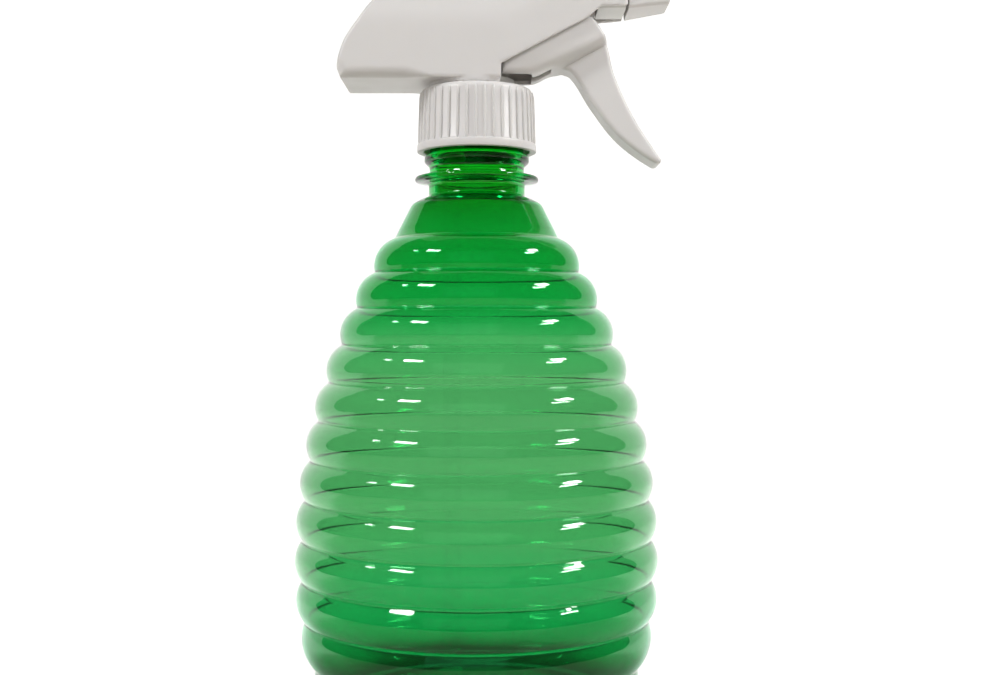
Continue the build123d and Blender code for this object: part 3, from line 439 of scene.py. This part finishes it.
def rib_tree(material):
    """Geometry Nodes: upright rounded ribs, evenly spaced round a slightly conical wall."""
    tree = bpy.data.node_groups.new("collar ribs", "GeometryNodeTree")
    tree.interface.new_socket(name="Geometry", in_out="OUTPUT", socket_type="NodeSocketGeometry")
    group_input(tree, "Count", "NodeSocketInt", RIB_COUNT)
    group_input(tree, "Foot radius", "NodeSocketFloat", RIB_FOOT_R * MM)
    group_input(tree, "Foot height", "NodeSocketFloat", RIB_FOOT_Z * MM)
    group_input(tree, "Length", "NodeSocketFloat", RIB_LENGTH * MM)
    group_input(tree, "Width", "NodeSocketFloat", RIB_WIDTH * MM)
    group_input(tree, "Lean", "NodeSocketFloat", RIB_LEAN)
    nodes = tree.nodes
    given = nodes.new("NodeGroupInput")
    # one rib: a round section drawn along a leaning line
    rise = nodes.new("ShaderNodeCombineXYZ")
    wire(tree, given, "Length", rise, "Z")
    lean = worked_out(tree, "MULTIPLY", given.outputs["Length"], given.outputs["Lean"])
    feed(tree, worked_out(tree, "MULTIPLY", lean, -1.0), rise.inputs["X"])
    line = nodes.new("GeometryNodeCurvePrimitiveLine")
    wire(tree, rise, 0, line, "End")
    spine = nodes.new("GeometryNodeResampleCurve")
    spine.inputs["Count"].default_value = 14
    wire(tree, line, 0, spine, "Curve")
    section = nodes.new("GeometryNodeCurvePrimitiveCircle")
    section.mode = "RADIUS"
    section.inputs["Resolution"].default_value = 10
    feed(tree, worked_out(tree, "MULTIPLY", given.outputs["Width"], 0.5), section.inputs["Radius"])
    # both ends are drawn in, so that the rib runs out into the wall
    along = nodes.new("GeometryNodeSplineParameter").outputs["Factor"]
    foot = mapped(tree, along, 0.0, 0.07, 0.45, 1.0, smooth=True)
    head = mapped(tree, along, 1.0, 0.93, 0.35, 1.0, smooth=True)
    bar = nodes.new("GeometryNodeCurveToMesh")
    bar.inputs["Fill Caps"].default_value = True
    wire(tree, spine, 0, bar, "Curve")
    wire(tree, section, 0, bar, "Profile Curve")
    feed(tree, worked_out(tree, "MULTIPLY", foot, head), bar.inputs["Scale"])
    # the ribs stand on a ring of points
    ring = nodes.new("GeometryNodeMeshCircle")
    wire(tree, given, "Count", ring, "Vertices")
    wire(tree, given, "Foot radius", ring, "Radius")
    lift = nodes.new("ShaderNodeCombineXYZ")
    wire(tree, given, "Foot height", lift, "Z")
    raised = nodes.new("GeometryNodeTransform")
    wire(tree, ring, 0, raised, "Geometry")
    wire(tree, lift, 0, raised, "Translation")
    # each rib turns to face outwards
    place = nodes.new("GeometryNodeInputPosition")
    apart = nodes.new("ShaderNodeSeparateXYZ")
    wire(tree, place, 0, apart, 0)
    spin = nodes.new("ShaderNodeCombineXYZ")
    feed(tree, worked_out(tree, "ARCTAN2", apart.outputs["Y"], apart.outputs["X"]), spin.inputs["Z"])
    copies = nodes.new("GeometryNodeInstanceOnPoints")
    wire(tree, raised, 0, copies, "Points")
    wire(tree, bar, 0, copies, "Instance")
    wire(tree, spin, 0, copies, "Rotation")
    real = nodes.new("GeometryNodeRealizeInstances")
    wire(tree, copies, 0, real, "Geometry")
    smooth = nodes.new("GeometryNodeSetShadeSmooth")
    wire(tree, real, 0, smooth, "Geometry")
    finish = nodes.new("GeometryNodeSetMaterial")
    finish.inputs["Material"].default_value = material
    wire(tree, smooth, 0, finish, "Geometry")
    result = nodes.new("NodeGroupOutput")
    wire(tree, finish, 0, result, "Geometry")
    return tree


def grown(name, tree):
    """Runs a Geometry Nodes tree once and keeps its result as a plain mesh."""
    seed = bpy.data.objects.new(name + " seed", bpy.data.meshes.new(name + " seed"))
    bpy.context.scene.collection.objects.link(seed)
    modifier = seed.modifiers.new("grow", "NODES")
    modifier.node_group = tree
    evaluated = seed.evaluated_get(bpy.context.evaluated_depsgraph_get())
    mesh = bpy.data.meshes.new_from_object(evaluated)
    seed.modifiers.clear()
    bpy.data.objects.remove(seed)
    mesh.name = name
    return new_object(name, mesh)


# ================================================================ shroud
SHROUD_HALF, SHROUD_FRONT_HALF, SHROUD_TAPER_X = 13.0, 9.0, 8.0
SHROUD_REAR_X, SHROUD_FRONT_X = -36.2, 39.6
SHROUD_FLOOR_Z, SHROUD_TOP_Z, CREASE_Z, TOP_HALF = 163.9, 200.9, 179.5, 8.6
SHROUD_WALL, FRONT_DROP, CREASE_WIDTH = 1.3, 1.4, 0.5
SHROUD_TAPER = (SHROUD_HALF - SHROUD_FRONT_HALF) / (SHROUD_FRONT_X + 2 - SHROUD_TAPER_X)
SLOT_HALF, SLOT_TOP_Z = 10.9, 172.0
LOCATING_RIM_R, LOCATING_RIM_Z, LOCATING_RIM_TOP_Z = 13.0, 162.9, 165.0
EDGE_ROUND, REAR_EDGE_ROUND, CRISP_EDGE_ROUND = 0.9, 2.8, 0.35
LOWER_EDGE_TOP_Z, LOWER_EDGE_BLEND = 168.6, 2.2
CRISP_FROM_X, CRISP_BLEND = -19.0, 9.0
TRIGGER_EDGE = [(6.5, 167.4), (28.7, 179.6), (32.5, 182.9), (45.0, 183.5)]


def shroud_side_outline():
    """Side view: flat floor, rounded back and a long top line that falls a little to the front."""
    rear_low, rear_mid = (SHROUD_REAR_X, SHROUD_FLOOR_Z + 2.6), (-30.2, CREASE_Z)
    back = curve_through([rear_low, (-34.2, 173.4), rear_mid], (0.18, 1), (0.55, 0.84), 8)
    top = curve_through(
        [rear_mid, (-21.5, 189.6), (-8.0, SHROUD_TOP_Z - 2.6), (12.0, SHROUD_TOP_Z),
         (SHROUD_FRONT_X, SHROUD_TOP_Z - FRONT_DROP)], (0.55, 0.84), (1, -0.06), 10)
    floor = [(SHROUD_FRONT_X, SHROUD_FLOOR_Z), (SHROUD_REAR_X + 1.0, SHROUD_FLOOR_Z)]
    return np.vstack([back, top[1:], floor])


def shroud_half(x):
    """Half width of the cover in plan."""
    past = x - SHROUD_TAPER_X
    # the taper starts softly
    eased = np.where(past > 3, past, np.maximum(past + 3, 0) ** 2 / 12)
    return SHROUD_HALF - SHROUD_TAPER * eased


def shroud_field():
    """The cover: side outline, tapering plan and leaning upper sides, hollowed, open below and in front."""
    outline = shroud_side_outline()
    lean = (SHROUD_HALF - TOP_HALF) / (SHROUD_TOP_Z + 1 - CREASE_Z)
    steep = 1 / sqrt(1 + lean ** 2)
    under = [(TRIGGER_EDGE[0][0], 140), *TRIGGER_EDGE, (60, TRIGGER_EDGE[-1][1]), (60, 140)]

    def body(x, y, z, inset, rounding):
        side = distance_to_outline(outline, x, z) + inset
        flank = np.abs(y) - shroud_half(x) + inset
        upper = (np.abs(y) - SHROUD_HALF + inset + (z - CREASE_Z) * lean) * steep
        walls = crease(flank, upper, CREASE_WIDTH)
        return meet(side, walls, rounding)

    def field(x, y, z):
        # the long lower edge is soft at the rear and runs out to a crisp edge over the collar
        low = np.clip((LOWER_EDGE_TOP_Z - z) / LOWER_EDGE_BLEND, 0, 1)
        towards_front = np.clip((x - CRISP_FROM_X) / CRISP_BLEND, 0, 1)
        crisp = towards_front * towards_front * (3 - 2 * towards_front)
        lower_edge = REAR_EDGE_ROUND * (1 - crisp) + CRISP_EDGE_ROUND * crisp
        outer = body(x, y, z, 0.0, EDGE_ROUND * (1 - low) + low * lower_edge)
        from_axis = np.sqrt(x ** 2 + y ** 2)
        rim = np.maximum(LOCATING_RIM_Z - z, z - LOCATING_RIM_TOP_Z)
        outer = np.minimum(outer, np.maximum(from_axis - LOCATING_RIM_R, rim))
        space = np.maximum(body(x, y, z, SHROUD_WALL, 1.2), SHROUD_FLOOR_Z + SHROUD_WALL - z)
        mouth = np.maximum(np.abs(y) - shroud_half(x) + SHROUD_WALL, SHROUD_FRONT_X - 3 - x)
        mouth = np.maximum(mouth, z - (SHROUD_TOP_Z - FRONT_DROP - SHROUD_WALL))
        # the pump body comes up through a slot, round at the back
        slot = np.where(x > 0, np.abs(y), from_axis) - SLOT_HALF
        slot = np.maximum(slot, z - SLOT_TOP_Z)
        room = np.minimum(np.minimum(space, mouth), slot)
        shell = cut(outer, room, 0.3)
        return cut(shell, distance_to_outline(under, x, z), 0.3)

    return field


# ================================================================ trigger
PIVOT, PIN_BORE_R, BOSS_R = (27.0, 188.5), 1.87, 3.6
ARM_MIDDLE, ARM_HALF = 4.9, 0.8
CHEEK_HALF, STEM_HALF, TIP_HALF, CHEEK_WALL, COVER_GAP = 10.7, 4.6, 6.0, 1.5, 0.4
CHEEK_TURN, CHEEK_TURN_LENGTH, POCKET_DEPTH, LEVER_LENGTH = 1.0, 6.5, 6.0, 33.0
FLOOR_WALL, CYLINDER_SLOT, ROD_SLOT, CYLINDER_END_X = 1.2, 7.0, 2.9, 14.6
RIB_REAR_X, RIB_FRONT_X, RIB_LOW_Z, RIB_HIGH_Z, RIB_HALF = 18.0, 19.6, 168.6, 177.0, 9.1
EDGE_RUN = np.subtract(TRIGGER_EDGE[1], TRIGGER_EDGE[0])
EDGE_RUN = EDGE_RUN / np.linalg.norm(EDGE_RUN)


def trigger_outline():
    """Side view: the finger curve from the nose to the tip, the back up to the throat, and the cheeks."""
    nose, tip_front, tip_back = (29.3, 181.3), (48.6, 143.6), (47.0, 142.6)
    heel, throat = (14.7, 165.6), (24.9, 166.7)
    front = curve_through([nose, (33.7, 175.9), (36.3, 166.5), (41.6, 154.6), tip_front],
                          (0.75, -0.6), (0.55, -0.83), 10)
    tip = curve_through([tip_front, (48.5, 142.8), tip_back], (0.5, -0.86), (-0.9, 0.4), 5)
    back = curve_through([tip_back, (37.7, 149.3), (30.1, 158.9), throat], (-0.86, 0.5), (-0.72, 0.69), 10)
    arch = curve_through([throat, (20.6, 167.7), heel], (-0.85, 0.52), (-1, 0), 8)
    rest = [(6.65, 165.7), (6.65, 169.5), (14.0, 174.0), (24.5, 182.5)]
    return np.vstack([front, tip[1:], back[1:], arch[1:], rest])


def cheek_half(x, z, wide, narrow, start, length):
    """Half width of the trigger, and how far the point is below the cover's edge. Wide cheeks along that
    edge turn in to the slim lever."""
    below = (x - TRIGGER_EDGE[0][0]) * EDGE_RUN[1] - (z - TRIGGER_EDGE[0][1]) * EDGE_RUN[0]
    share = np.clip((below - start) / length, 0, 1)
    return narrow + (wide - narrow) * np.sqrt(np.maximum(1 - share ** 2, 0)), below


def trigger_field():
    """The lever and its cheeks, hollowed from above, with two arms up to the pivot."""
    outline = trigger_outline()
    pocket = [(0, 150), (23.5, 160), (25.6, 170), (28.0, 179.0), (27.0, 192), (0, 192)]
    arm = [(23.4, 188.5), (22.5, 179.0), (28.5, 178.0), (31.2, 181.0), (30.6, 188.5)]

    def plan_limit(x, y, inset):
        past = np.clip(x - SHROUD_TAPER_X, 0, 24.0)
        return np.abs(y) - (SHROUD_HALF - SHROUD_WALL - COVER_GAP - inset - SHROUD_TAPER * past)

    def field(x, y, z):
        half, below = cheek_half(x, z, CHEEK_HALF, STEM_HALF, CHEEK_TURN, CHEEK_TURN_LENGTH)
        # the lever widens again towards its tip
        past = below - CHEEK_TURN - CHEEK_TURN_LENGTH
        half = half + (TIP_HALF - STEM_HALF) * np.clip(past / LEVER_LENGTH, 0, 1)
        turning = (below > CHEEK_TURN) & (below < CHEEK_TURN + CHEEK_TURN_LENGTH)
        flank = (np.abs(y) - half) * np.where(turning, 0.7, 1.0)
        flank = meet(flank, plan_limit(x, y, 0.0), 0.6)
        side = distance_to_outline(outline, x, z)
        body = meet(side, flank, 1.1)
        inner, _ = cheek_half(x, z, CHEEK_HALF - CHEEK_WALL, STEM_HALF - CHEEK_WALL,
                              CHEEK_TURN, CHEEK_TURN_LENGTH - CHEEK_WALL)
        room = np.maximum(np.abs(y) - inner, below - POCKET_DEPTH)
        room = np.maximum(room, plan_limit(x, y, CHEEK_WALL))
        room = np.maximum(room, distance_to_outline(pocket, x, z))
        # the underside is closed beside the cylinder and round the plunger rod
        aside = np.abs(y) - np.where(x > CYLINDER_END_X, ROD_SLOT, CYLINDER_SLOT)
        room = np.maximum(room, np.minimum(side + FLOOR_WALL, aside))
        # a cross rib pushes the plunger rod
        rib = np.maximum(RIB_REAR_X - x, x - RIB_FRONT_X)
        rib = np.maximum(rib, np.maximum(RIB_LOW_Z - z, z - RIB_HIGH_Z))
        rib = np.maximum(rib, np.abs(y) - RIB_HALF)
        body = cut(body, np.maximum(room, -rib), 0.35)
        from_pivot = np.sqrt((x - PIVOT[0]) ** 2 + (z - PIVOT[1]) ** 2)
        plate = np.minimum(distance_to_outline(arm, x, z), from_pivot - BOSS_R)
        arms = meet(plate, np.abs(np.abs(y) - ARM_MIDDLE) - ARM_HALF, 0.25)
        return cut(join(body, arms, 0.4), from_pivot - PIN_BORE_R, 0.15)

    return field


# ================================================================ nozzle cap
CAP_REAR_X, CAP_FRONT_X, BARREL_Z = 39.9, 51.0, 190.5
CAP_REAR_HALF, CAP_FRONT_HALF = 7.6, 5.9
CAP_BORE_R, CAP_BORE_END_X, DISH_R, DISH_DEPTH, JET_R = 4.9, 47.2, 2.6, 0.9, 0.45


def nozzle_field():
    """Square cap, tapering to the front, with a shallow dish round the jet hole."""
    taper = (CAP_REAR_HALF - CAP_FRONT_HALF) / (CAP_FRONT_X - CAP_REAR_X)

    def field(x, y, z):
        half = CAP_REAR_HALF - (x - CAP_REAR_X) * taper
        height = z - BARREL_Z
        square = meet(np.abs(y) - half, np.abs(height) - half, 1.0)
        body = meet(square, x - CAP_FRONT_X, 0.7)
        body = meet(body, CAP_REAR_X - x, 0.35)
        from_axis = np.sqrt(y ** 2 + height ** 2)
        bore = np.maximum(from_axis - CAP_BORE_R, x - CAP_BORE_END_X)
        dish = np.maximum(from_axis - DISH_R, CAP_FRONT_X - DISH_DEPTH - x)
        body = cut(body, bore, 0.25)
        body = cut(body, dish, 0.2)
        return cut(body, from_axis - JET_R, 0.1)

    return field


# ================================================================ materials
MILKINESS, CLOUD_AMOUNT = 0.12, 0.25


def shader_group(name, inputs, outputs):
    group = bpy.data.node_groups.new(name, "ShaderNodeTree")
    for title, kind, value in inputs:
        group_input(group, title, kind, value)
    for title, kind in outputs:
        group.interface.new_socket(name=title, in_out="OUTPUT", socket_type=kind)
    return group, group.nodes.new("NodeGroupInput"), group.nodes.new("NodeGroupOutput")


def new_material(name):
    """A material with its node tree, its shader and the output that gives a point's place in the piece."""
    material = bpy.data.materials.new(name)
    material.use_nodes = True
    tree = material.node_tree
    place = tree.nodes.new("ShaderNodeTexCoord").outputs["Object"]
    return material, tree, tree.nodes["Principled BSDF"], place


def noise(tree, scale, detail, place):
    node = tree.nodes.new("ShaderNodeTexNoise")
    feed(tree, scale, node.inputs["Scale"])
    node.inputs["Detail"].default_value = detail
    tree.links.new(place, node.inputs["Vector"])
    return node.outputs["Fac"]


def raised_by(tree, height, strength, distance, shader):
    """Bumps the shader's surface by a height pattern."""
    relief = tree.nodes.new("ShaderNodeBump")
    relief.inputs["Strength"].default_value = strength
    relief.inputs["Distance"].default_value = distance
    tree.links.new(height, relief.inputs["Height"])
    tree.links.new(relief.outputs["Normal"], shader.inputs["Normal"])


def moulded_skin_group():
    """Moulded plastic: fine matt grain, faint flow clouds in the colour and a few dull touches."""
    group, given, result = shader_group(
        "moulded skin",
        [("Colour", "NodeSocketColor", (0.8, 0.8, 0.8, 1)),
         ("Cloud colour", "NodeSocketColor", (0.7, 0.7, 0.7, 1)),
         ("Cloud amount", "NodeSocketFloat", CLOUD_AMOUNT),
         ("Gloss", "NodeSocketFloat", 0.4),
         ("Grain scale", "NodeSocketFloat", 2500.0)],
        [("Colour", "NodeSocketColor"), ("Roughness", "NodeSocketFloat"), ("Height", "NodeSocketFloat")])
    place = group.nodes.new("ShaderNodeTexCoord").outputs["Object"]
    clouds = worked_out(group, "MULTIPLY", noise(group, 55.0, 3.0, place), given.outputs["Cloud amount"])
    tint = colour_between(group, clouds, given.outputs["Colour"], given.outputs["Cloud colour"])
    feed(group, tint, result.inputs["Colour"])
    touches = mapped(group, noise(group, 160.0, 4.0, place), 0.35, 0.75, -0.04, 0.09)
    rough = worked_out(group, "ADD", given.outputs["Gloss"], touches)
    feed(group, rough, result.inputs["Roughness"])
    feed(group, noise(group, given.outputs["Grain scale"], 2.0, place), result.inputs["Height"])
    return group


MOULDED = moulded_skin_group()


def moulded_plastic(name, colour, cloud, gloss, grain=2500.0, bump=0.08, milkiness=0.0):
    material = bpy.data.materials.new(name)
    material.use_nodes = True
    tree = material.node_tree
    shader = tree.nodes["Principled BSDF"]
    skin = tree.nodes.new("ShaderNodeGroup")
    skin.node_tree = MOULDED
    skin.inputs["Colour"].default_value = (*colour, 1)
    skin.inputs["Cloud colour"].default_value = (*cloud, 1)
    skin.inputs["Cloud amount"].default_value = CLOUD_AMOUNT
    skin.inputs["Gloss"].default_value = gloss
    skin.inputs["Grain scale"].default_value = grain
    wire(tree, skin, "Colour", shader, "Base Color")
    wire(tree, skin, "Roughness", shader, "Roughness")
    raised_by(tree, skin.outputs["Height"], bump, 0.0001, shader)
    shader.inputs["IOR"].default_value = 1.49
    if milkiness:
        shader.inputs["Subsurface Weight"].default_value = milkiness
        shader.inputs["Subsurface Radius"].default_value = (1.0, 0.8, 0.6)
        shader.inputs["Subsurface Scale"].default_value = 0.0015
    return material


def clear_plastic(name, roughness, ior):
    """See-through plastic with a little haze. Its tint is added after."""
    material, tree, shader, place = new_material(name)
    shader.inputs["Transmission Weight"].default_value = 1.0
    shader.inputs["IOR"].default_value = ior
    haze = noise(tree, 260.0, 3.0, place)
    dull = mapped(tree, haze, 0.0, 1.0, roughness - 0.015, roughness + 0.02)
    feed(tree, dull, shader.inputs["Roughness"])
    return material, tree, shader, place


def green_bottle(stops):
    """Blown walls are thick at the neck and base and thin at the belly, so the dye shows deeper there. The
    tint also holds painted light: the paler, milkier belly is a painted reflection of the front light, and
    the dark band below the collar and the near black base are painted shade.
    Each stop is a height in millimetres and the tint of one wall surface."""
    material, tree, shader, place = clear_plastic("green bottle", 0.03, 1.42)
    raised_by(tree, noise(tree, 90.0, 1.0, place), 0.10, 0.0005, shader)
    apart = tree.nodes.new("ShaderNodeSeparateXYZ")
    tree.links.new(place, apart.inputs[0])
    low, high = stops[0][0], stops[-1][0]
    height = mapped(tree, apart.outputs["Z"], low * MM, high * MM)
    uneven = worked_out(tree, "MULTIPLY", noise(tree, 30.0, 2.0, place), 0.05)
    # the ramp up the height is partly the dye's depth and partly painted light: a painted reflection on the
    # belly, painted shade at the neck and base
    ramp = tree.nodes.new("ShaderNodeValToRGB")
    ramp.color_ramp.interpolation = "B_SPLINE"
    while len(ramp.color_ramp.elements) < len(stops):
        ramp.color_ramp.elements.new(0.5)
    for element, (level, colour) in zip(ramp.color_ramp.elements, stops):
        element.position = (level - low) / (high - low)
        element.color = (*colour, 1)
    feed(tree, worked_out(tree, "ADD", height, uneven), ramp.inputs["Fac"])
    feed(tree, ramp.outputs["Color"], shader.inputs["Base Color"])
    return material


def clear_tube():
    """Thin natural tube wall, hardly tinted."""
    material, tree, shader, place = clear_plastic("tube clear", 0.05, 1.04)
    clouds = noise(tree, 35.0, 2.0, place)
    tint = colour_between(tree, clouds, (0.99, 0.99, 0.99, 1), (0.96, 0.96, 0.96, 1))
    feed(tree, tint, shader.inputs["Base Color"])
    shader.inputs["Alpha"].default_value = 0.3
    return material


def bright_steel(name):
    material, tree, shader, place = new_material(name)
    shader.inputs["Metallic"].default_value = 1.0
    marks = noise(tree, 900.0, 3.0, place)
    tone = colour_between(tree, marks, (0.55, 0.55, 0.56, 1), (0.72, 0.72, 0.72, 1))
    feed(tree, tone, shader.inputs["Base Color"])
    feed(tree, mapped(tree, marks, 0.0, 1.0, 0.18, 0.38), shader.inputs["Roughness"])
    return material


HEAD_WHITE = moulded_plastic(
    "head white", (0.73, 0.715, 0.705), (0.65, 0.63, 0.615), 0.42, milkiness=MILKINESS)
RIB_WHITE = moulded_plastic(
    "rib white", (0.74, 0.725, 0.715), (0.68, 0.665, 0.655), 0.20, bump=0.02, milkiness=MILKINESS)
COLLAR_WHITE = moulded_plastic(
    "collar white", (0.73, 0.71, 0.70), (0.67, 0.65, 0.64), 0.40, bump=0.03, milkiness=MILKINESS)
INNER_WHITE = moulded_plastic("inner white", (0.70, 0.70, 0.67), (0.62, 0.62, 0.59), 0.38)
SEAL_GREY = moulded_plastic(
    "seal grey", (0.30, 0.30, 0.29), (0.24, 0.24, 0.24), 0.6, grain=1400.0, bump=0.15)
CUP_MILKY = moulded_plastic("cup milky", (0.78, 0.80, 0.78), (0.70, 0.72, 0.70), 0.35)
# tint stops: dye depth, with painted shade at the base and below the collar and a painted reflection on the
# paler belly
GREEN_PET = green_bottle([
    (0.0, (0.0005, 0.03, 0.005)), (6.0, (0.0005, 0.06, 0.012)), (11.0, (0.001, 0.38, 0.13)),
    (22.0, (0.04, 0.50, 0.21)), (32.0, (0.09, 0.52, 0.24)), (42.0, (0.20, 0.55, 0.28)),
    (86.0, (0.27, 0.60, 0.33)), (101.0, (0.21, 0.62, 0.31)), (109.0, (0.02, 0.54, 0.19)),
    (132.0, (0.002, 0.52, 0.14)), (138.0, (0.001, 0.36, 0.05)), (146.0, (0.001, 0.64, 0.07)),
    (159.0, (0.001, 0.64, 0.07))])
TUBE_CLEAR = clear_tube()
SPRING_WIRE = bright_steel("spring wire")
BALL_STEEL = bright_steel("ball steel")


def paint(piece, material):
    piece.data.materials.clear()
    piece.data.materials.append(material)


# ================================================================ pieces
bottle = new_object("bottle_shell", turned(
    "bottle_shell", bottle_outline(), BOTTLE_SEGMENTS, lift=thread_lift, sharp_deg=50))
paint(bottle, GREEN_PET)
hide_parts("bottle")
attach(bottle, "bottle")

collar = new_object("collar_shell", turned(
    "collar_shell", collar_outline(), COLLAR_SEGMENTS, sharp_deg=40))
paint(collar, COLLAR_WHITE)
ribs = grown("collar_ribs", rib_tree(RIB_WHITE))
ridge_points, ridge_faces = collar_thread()
ridge = new_object("collar_thread", mesh_from("collar_thread", ridge_points, ridge_faces, 35))
paint(ridge, COLLAR_WHITE)
for part in (collar, ribs, ridge):
    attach(part, "collar")
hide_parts("collar")

shroud = new_object("shroud_shell", surface_where_zero(
    "shroud_shell", shroud_field(), (-37.4, -14.0, 162.6), (41.0, 14.0, 202.4), 0.5, 35))
paint(shroud, HEAD_WHITE)
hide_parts("shroud")
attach(shroud, "head")

trigger = new_object("trigger_lever", surface_where_zero(
    "trigger_lever", trigger_field(), (5.8, -11.6, 141.4), (49.8, 11.6, 193.2), 0.4, 35))
paint(trigger, HEAD_WHITE)
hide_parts("trigger")
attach(trigger, "trigger")

nozzle = new_object("nozzle_square", surface_where_zero(
    "nozzle_square", nozzle_field(), (39.2, -8.4, 182.1), (51.8, 8.4, 198.9), 0.22, 35))
paint(nozzle, HEAD_WHITE)
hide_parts("nozzle_cap")
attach(nozzle, "nozzle")


def soft_copy(node, name):
    """A merged, smooth copy of a CAD piece."""
    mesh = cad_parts[node].data.copy()
    mesh.name = name
    shape = bmesh.new()
    shape.from_mesh(mesh)
    bmesh.ops.remove_doubles(shape, verts=shape.verts, dist=1e-6)
    shape.to_mesh(mesh)
    shape.free()
    mesh.shade_smooth()
    mesh.set_sharp_from_angle(angle=radians(40))
    return new_object(name, mesh)


def sprung(node, name):
    """A smooth copy of a CAD coil in spring wire that rides with the head, with its CAD piece hidden."""
    coil = soft_copy(node, name)
    paint(coil, SPRING_WIRE)
    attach(coil, "head")
    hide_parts(node)
    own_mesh(coil)


sprung("return_spring", "return_coil")
sprung("outlet_spring", "outlet_coil")

CAD_FINISH = {
    "pump_body": INNER_WHITE, "cylinder_guide": INNER_WHITE, "tube_adapter": INNER_WHITE,
    "tube_strainer": TUBE_CLEAR, "plunger_rod": INNER_WHITE, "outlet_valve": INNER_WHITE,
    "spinner": INNER_WHITE, "passage_plug": INNER_WHITE, "neck_gasket": SEAL_GREY, "nozzle_seal": SEAL_GREY,
    "dip_tube": TUBE_CLEAR, "plunger_cup": CUP_MILKY, "inlet_ball": BALL_STEEL}
for node, material in CAD_FINISH.items():
    paint(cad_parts[node], material)


# ================================================================ floor, backdrop and light
def sweep_backdrop():
    """A pale floor that curves up into the wall behind."""
    depth, rise, bend = 1.6, 2.4, 0.7
    line = [(-1.5, 0.0), (depth - bend, 0.0)]
    line += [(depth - bend + bend * sin(t), bend - bend * cos(t)) for t in np.linspace(0.05, pi / 2, 24)]
    line.append((depth, rise))
    points, faces = [], []
    for y, z in line:
        points += [(-3.0, y, z), (3.0, y, z)]
    for n in range(len(line) - 1):
        faces.append([2 * n, 2 * n + 1, 2 * n + 3, 2 * n + 2])
    mesh = bpy.data.meshes.new("backdrop")
    mesh.from_pydata(points, [], faces)
    mesh.shade_smooth()
    return new_object("backdrop", mesh)


def pale_paper():
    """Lit paper: it glows a little by itself, so it stays an even white behind the bottle."""
    material, tree, shader, place = new_material("pale paper")
    fibres = noise(tree, 40.0, 4.0, place)
    tone = colour_between(tree, fibres, (0.80, 0.78, 0.74, 1), (0.77, 0.75, 0.71, 1))
    apart = tree.nodes.new("ShaderNodeSeparateXYZ")
    tree.links.new(place, apart.inputs[0])
    depth = apart.outputs["Y"]
    # the floor in front of the bottle is shaded and warm, so little light comes up under the head
    shaded = colour_between(tree, mapped(tree, depth, -0.06, 0.0), (0.60, 0.55, 0.49, 1), tone)
    feed(tree, shaded, shader.inputs["Base Color"])
    shader.inputs["Roughness"].default_value = 0.9
    shader.inputs["Specular IOR Level"].default_value = 0.1
    # the wall glows, and the floor only behind the object
    feed(tree, mapped(tree, depth, -0.01, 0.04, smooth=True), shader.inputs["Emission Color"])
    # it looks white, yet sends little light up under the head
    paths = tree.nodes.new("ShaderNodeLightPath")
    glow = mapped(tree, paths.outputs["Is Diffuse Ray"], 0.0, 1.0, 0.78, 0.15)
    feed(tree, glow, shader.inputs["Emission Strength"])
    return material


backdrop = sweep_backdrop()
paint(backdrop, pale_paper())

world = bpy.data.worlds.new("studio")
bpy.context.scene.world = world
world.use_nodes = True
world.node_tree.nodes["Background"].inputs["Color"].default_value = (1.0, 1.0, 1.0, 1)
world.node_tree.nodes["Background"].inputs["Strength"].default_value = 0.10


def soft_light(name, azimuth_deg, elevation_deg, distance, width, height, power):
    """A soft box that looks at the middle of the bottle. Azimuth 0 is on the camera's side."""
    target = Vector((0, 0, 0.10))
    turn, rise = radians(azimuth_deg), radians(elevation_deg)
    data = bpy.data.lights.new(name, "AREA")
    data.shape = "RECTANGLE"
    data.size, data.size_y = width, height
    data.energy = power
    light = bpy.data.objects.new(name, data)
    bpy.context.scene.collection.objects.link(light)
    light.location = target + distance * Vector((sin(turn) * cos(rise), -cos(turn) * cos(rise), sin(rise)))
    light.rotation_euler = (target - light.location).to_track_quat("-Z", "Y").to_euler()
    return light


soft_light("left box", -55, 40, 0.9, 0.22, 0.10, 3.2)
soft_light("low left box", -80, 36, 1.0, 0.10, 0.06, 0.5)
soft_light("right box", 76, 39, 0.9, 0.20, 0.10, 3.3)
soft_light("low right box", 67, 32, 0.9, 0.20, 0.05, 1.3)
fill = soft_light("front fill", -6, 22, 1.6, 1.5, 1.1, 8.2)
fill.visible_glossy = False
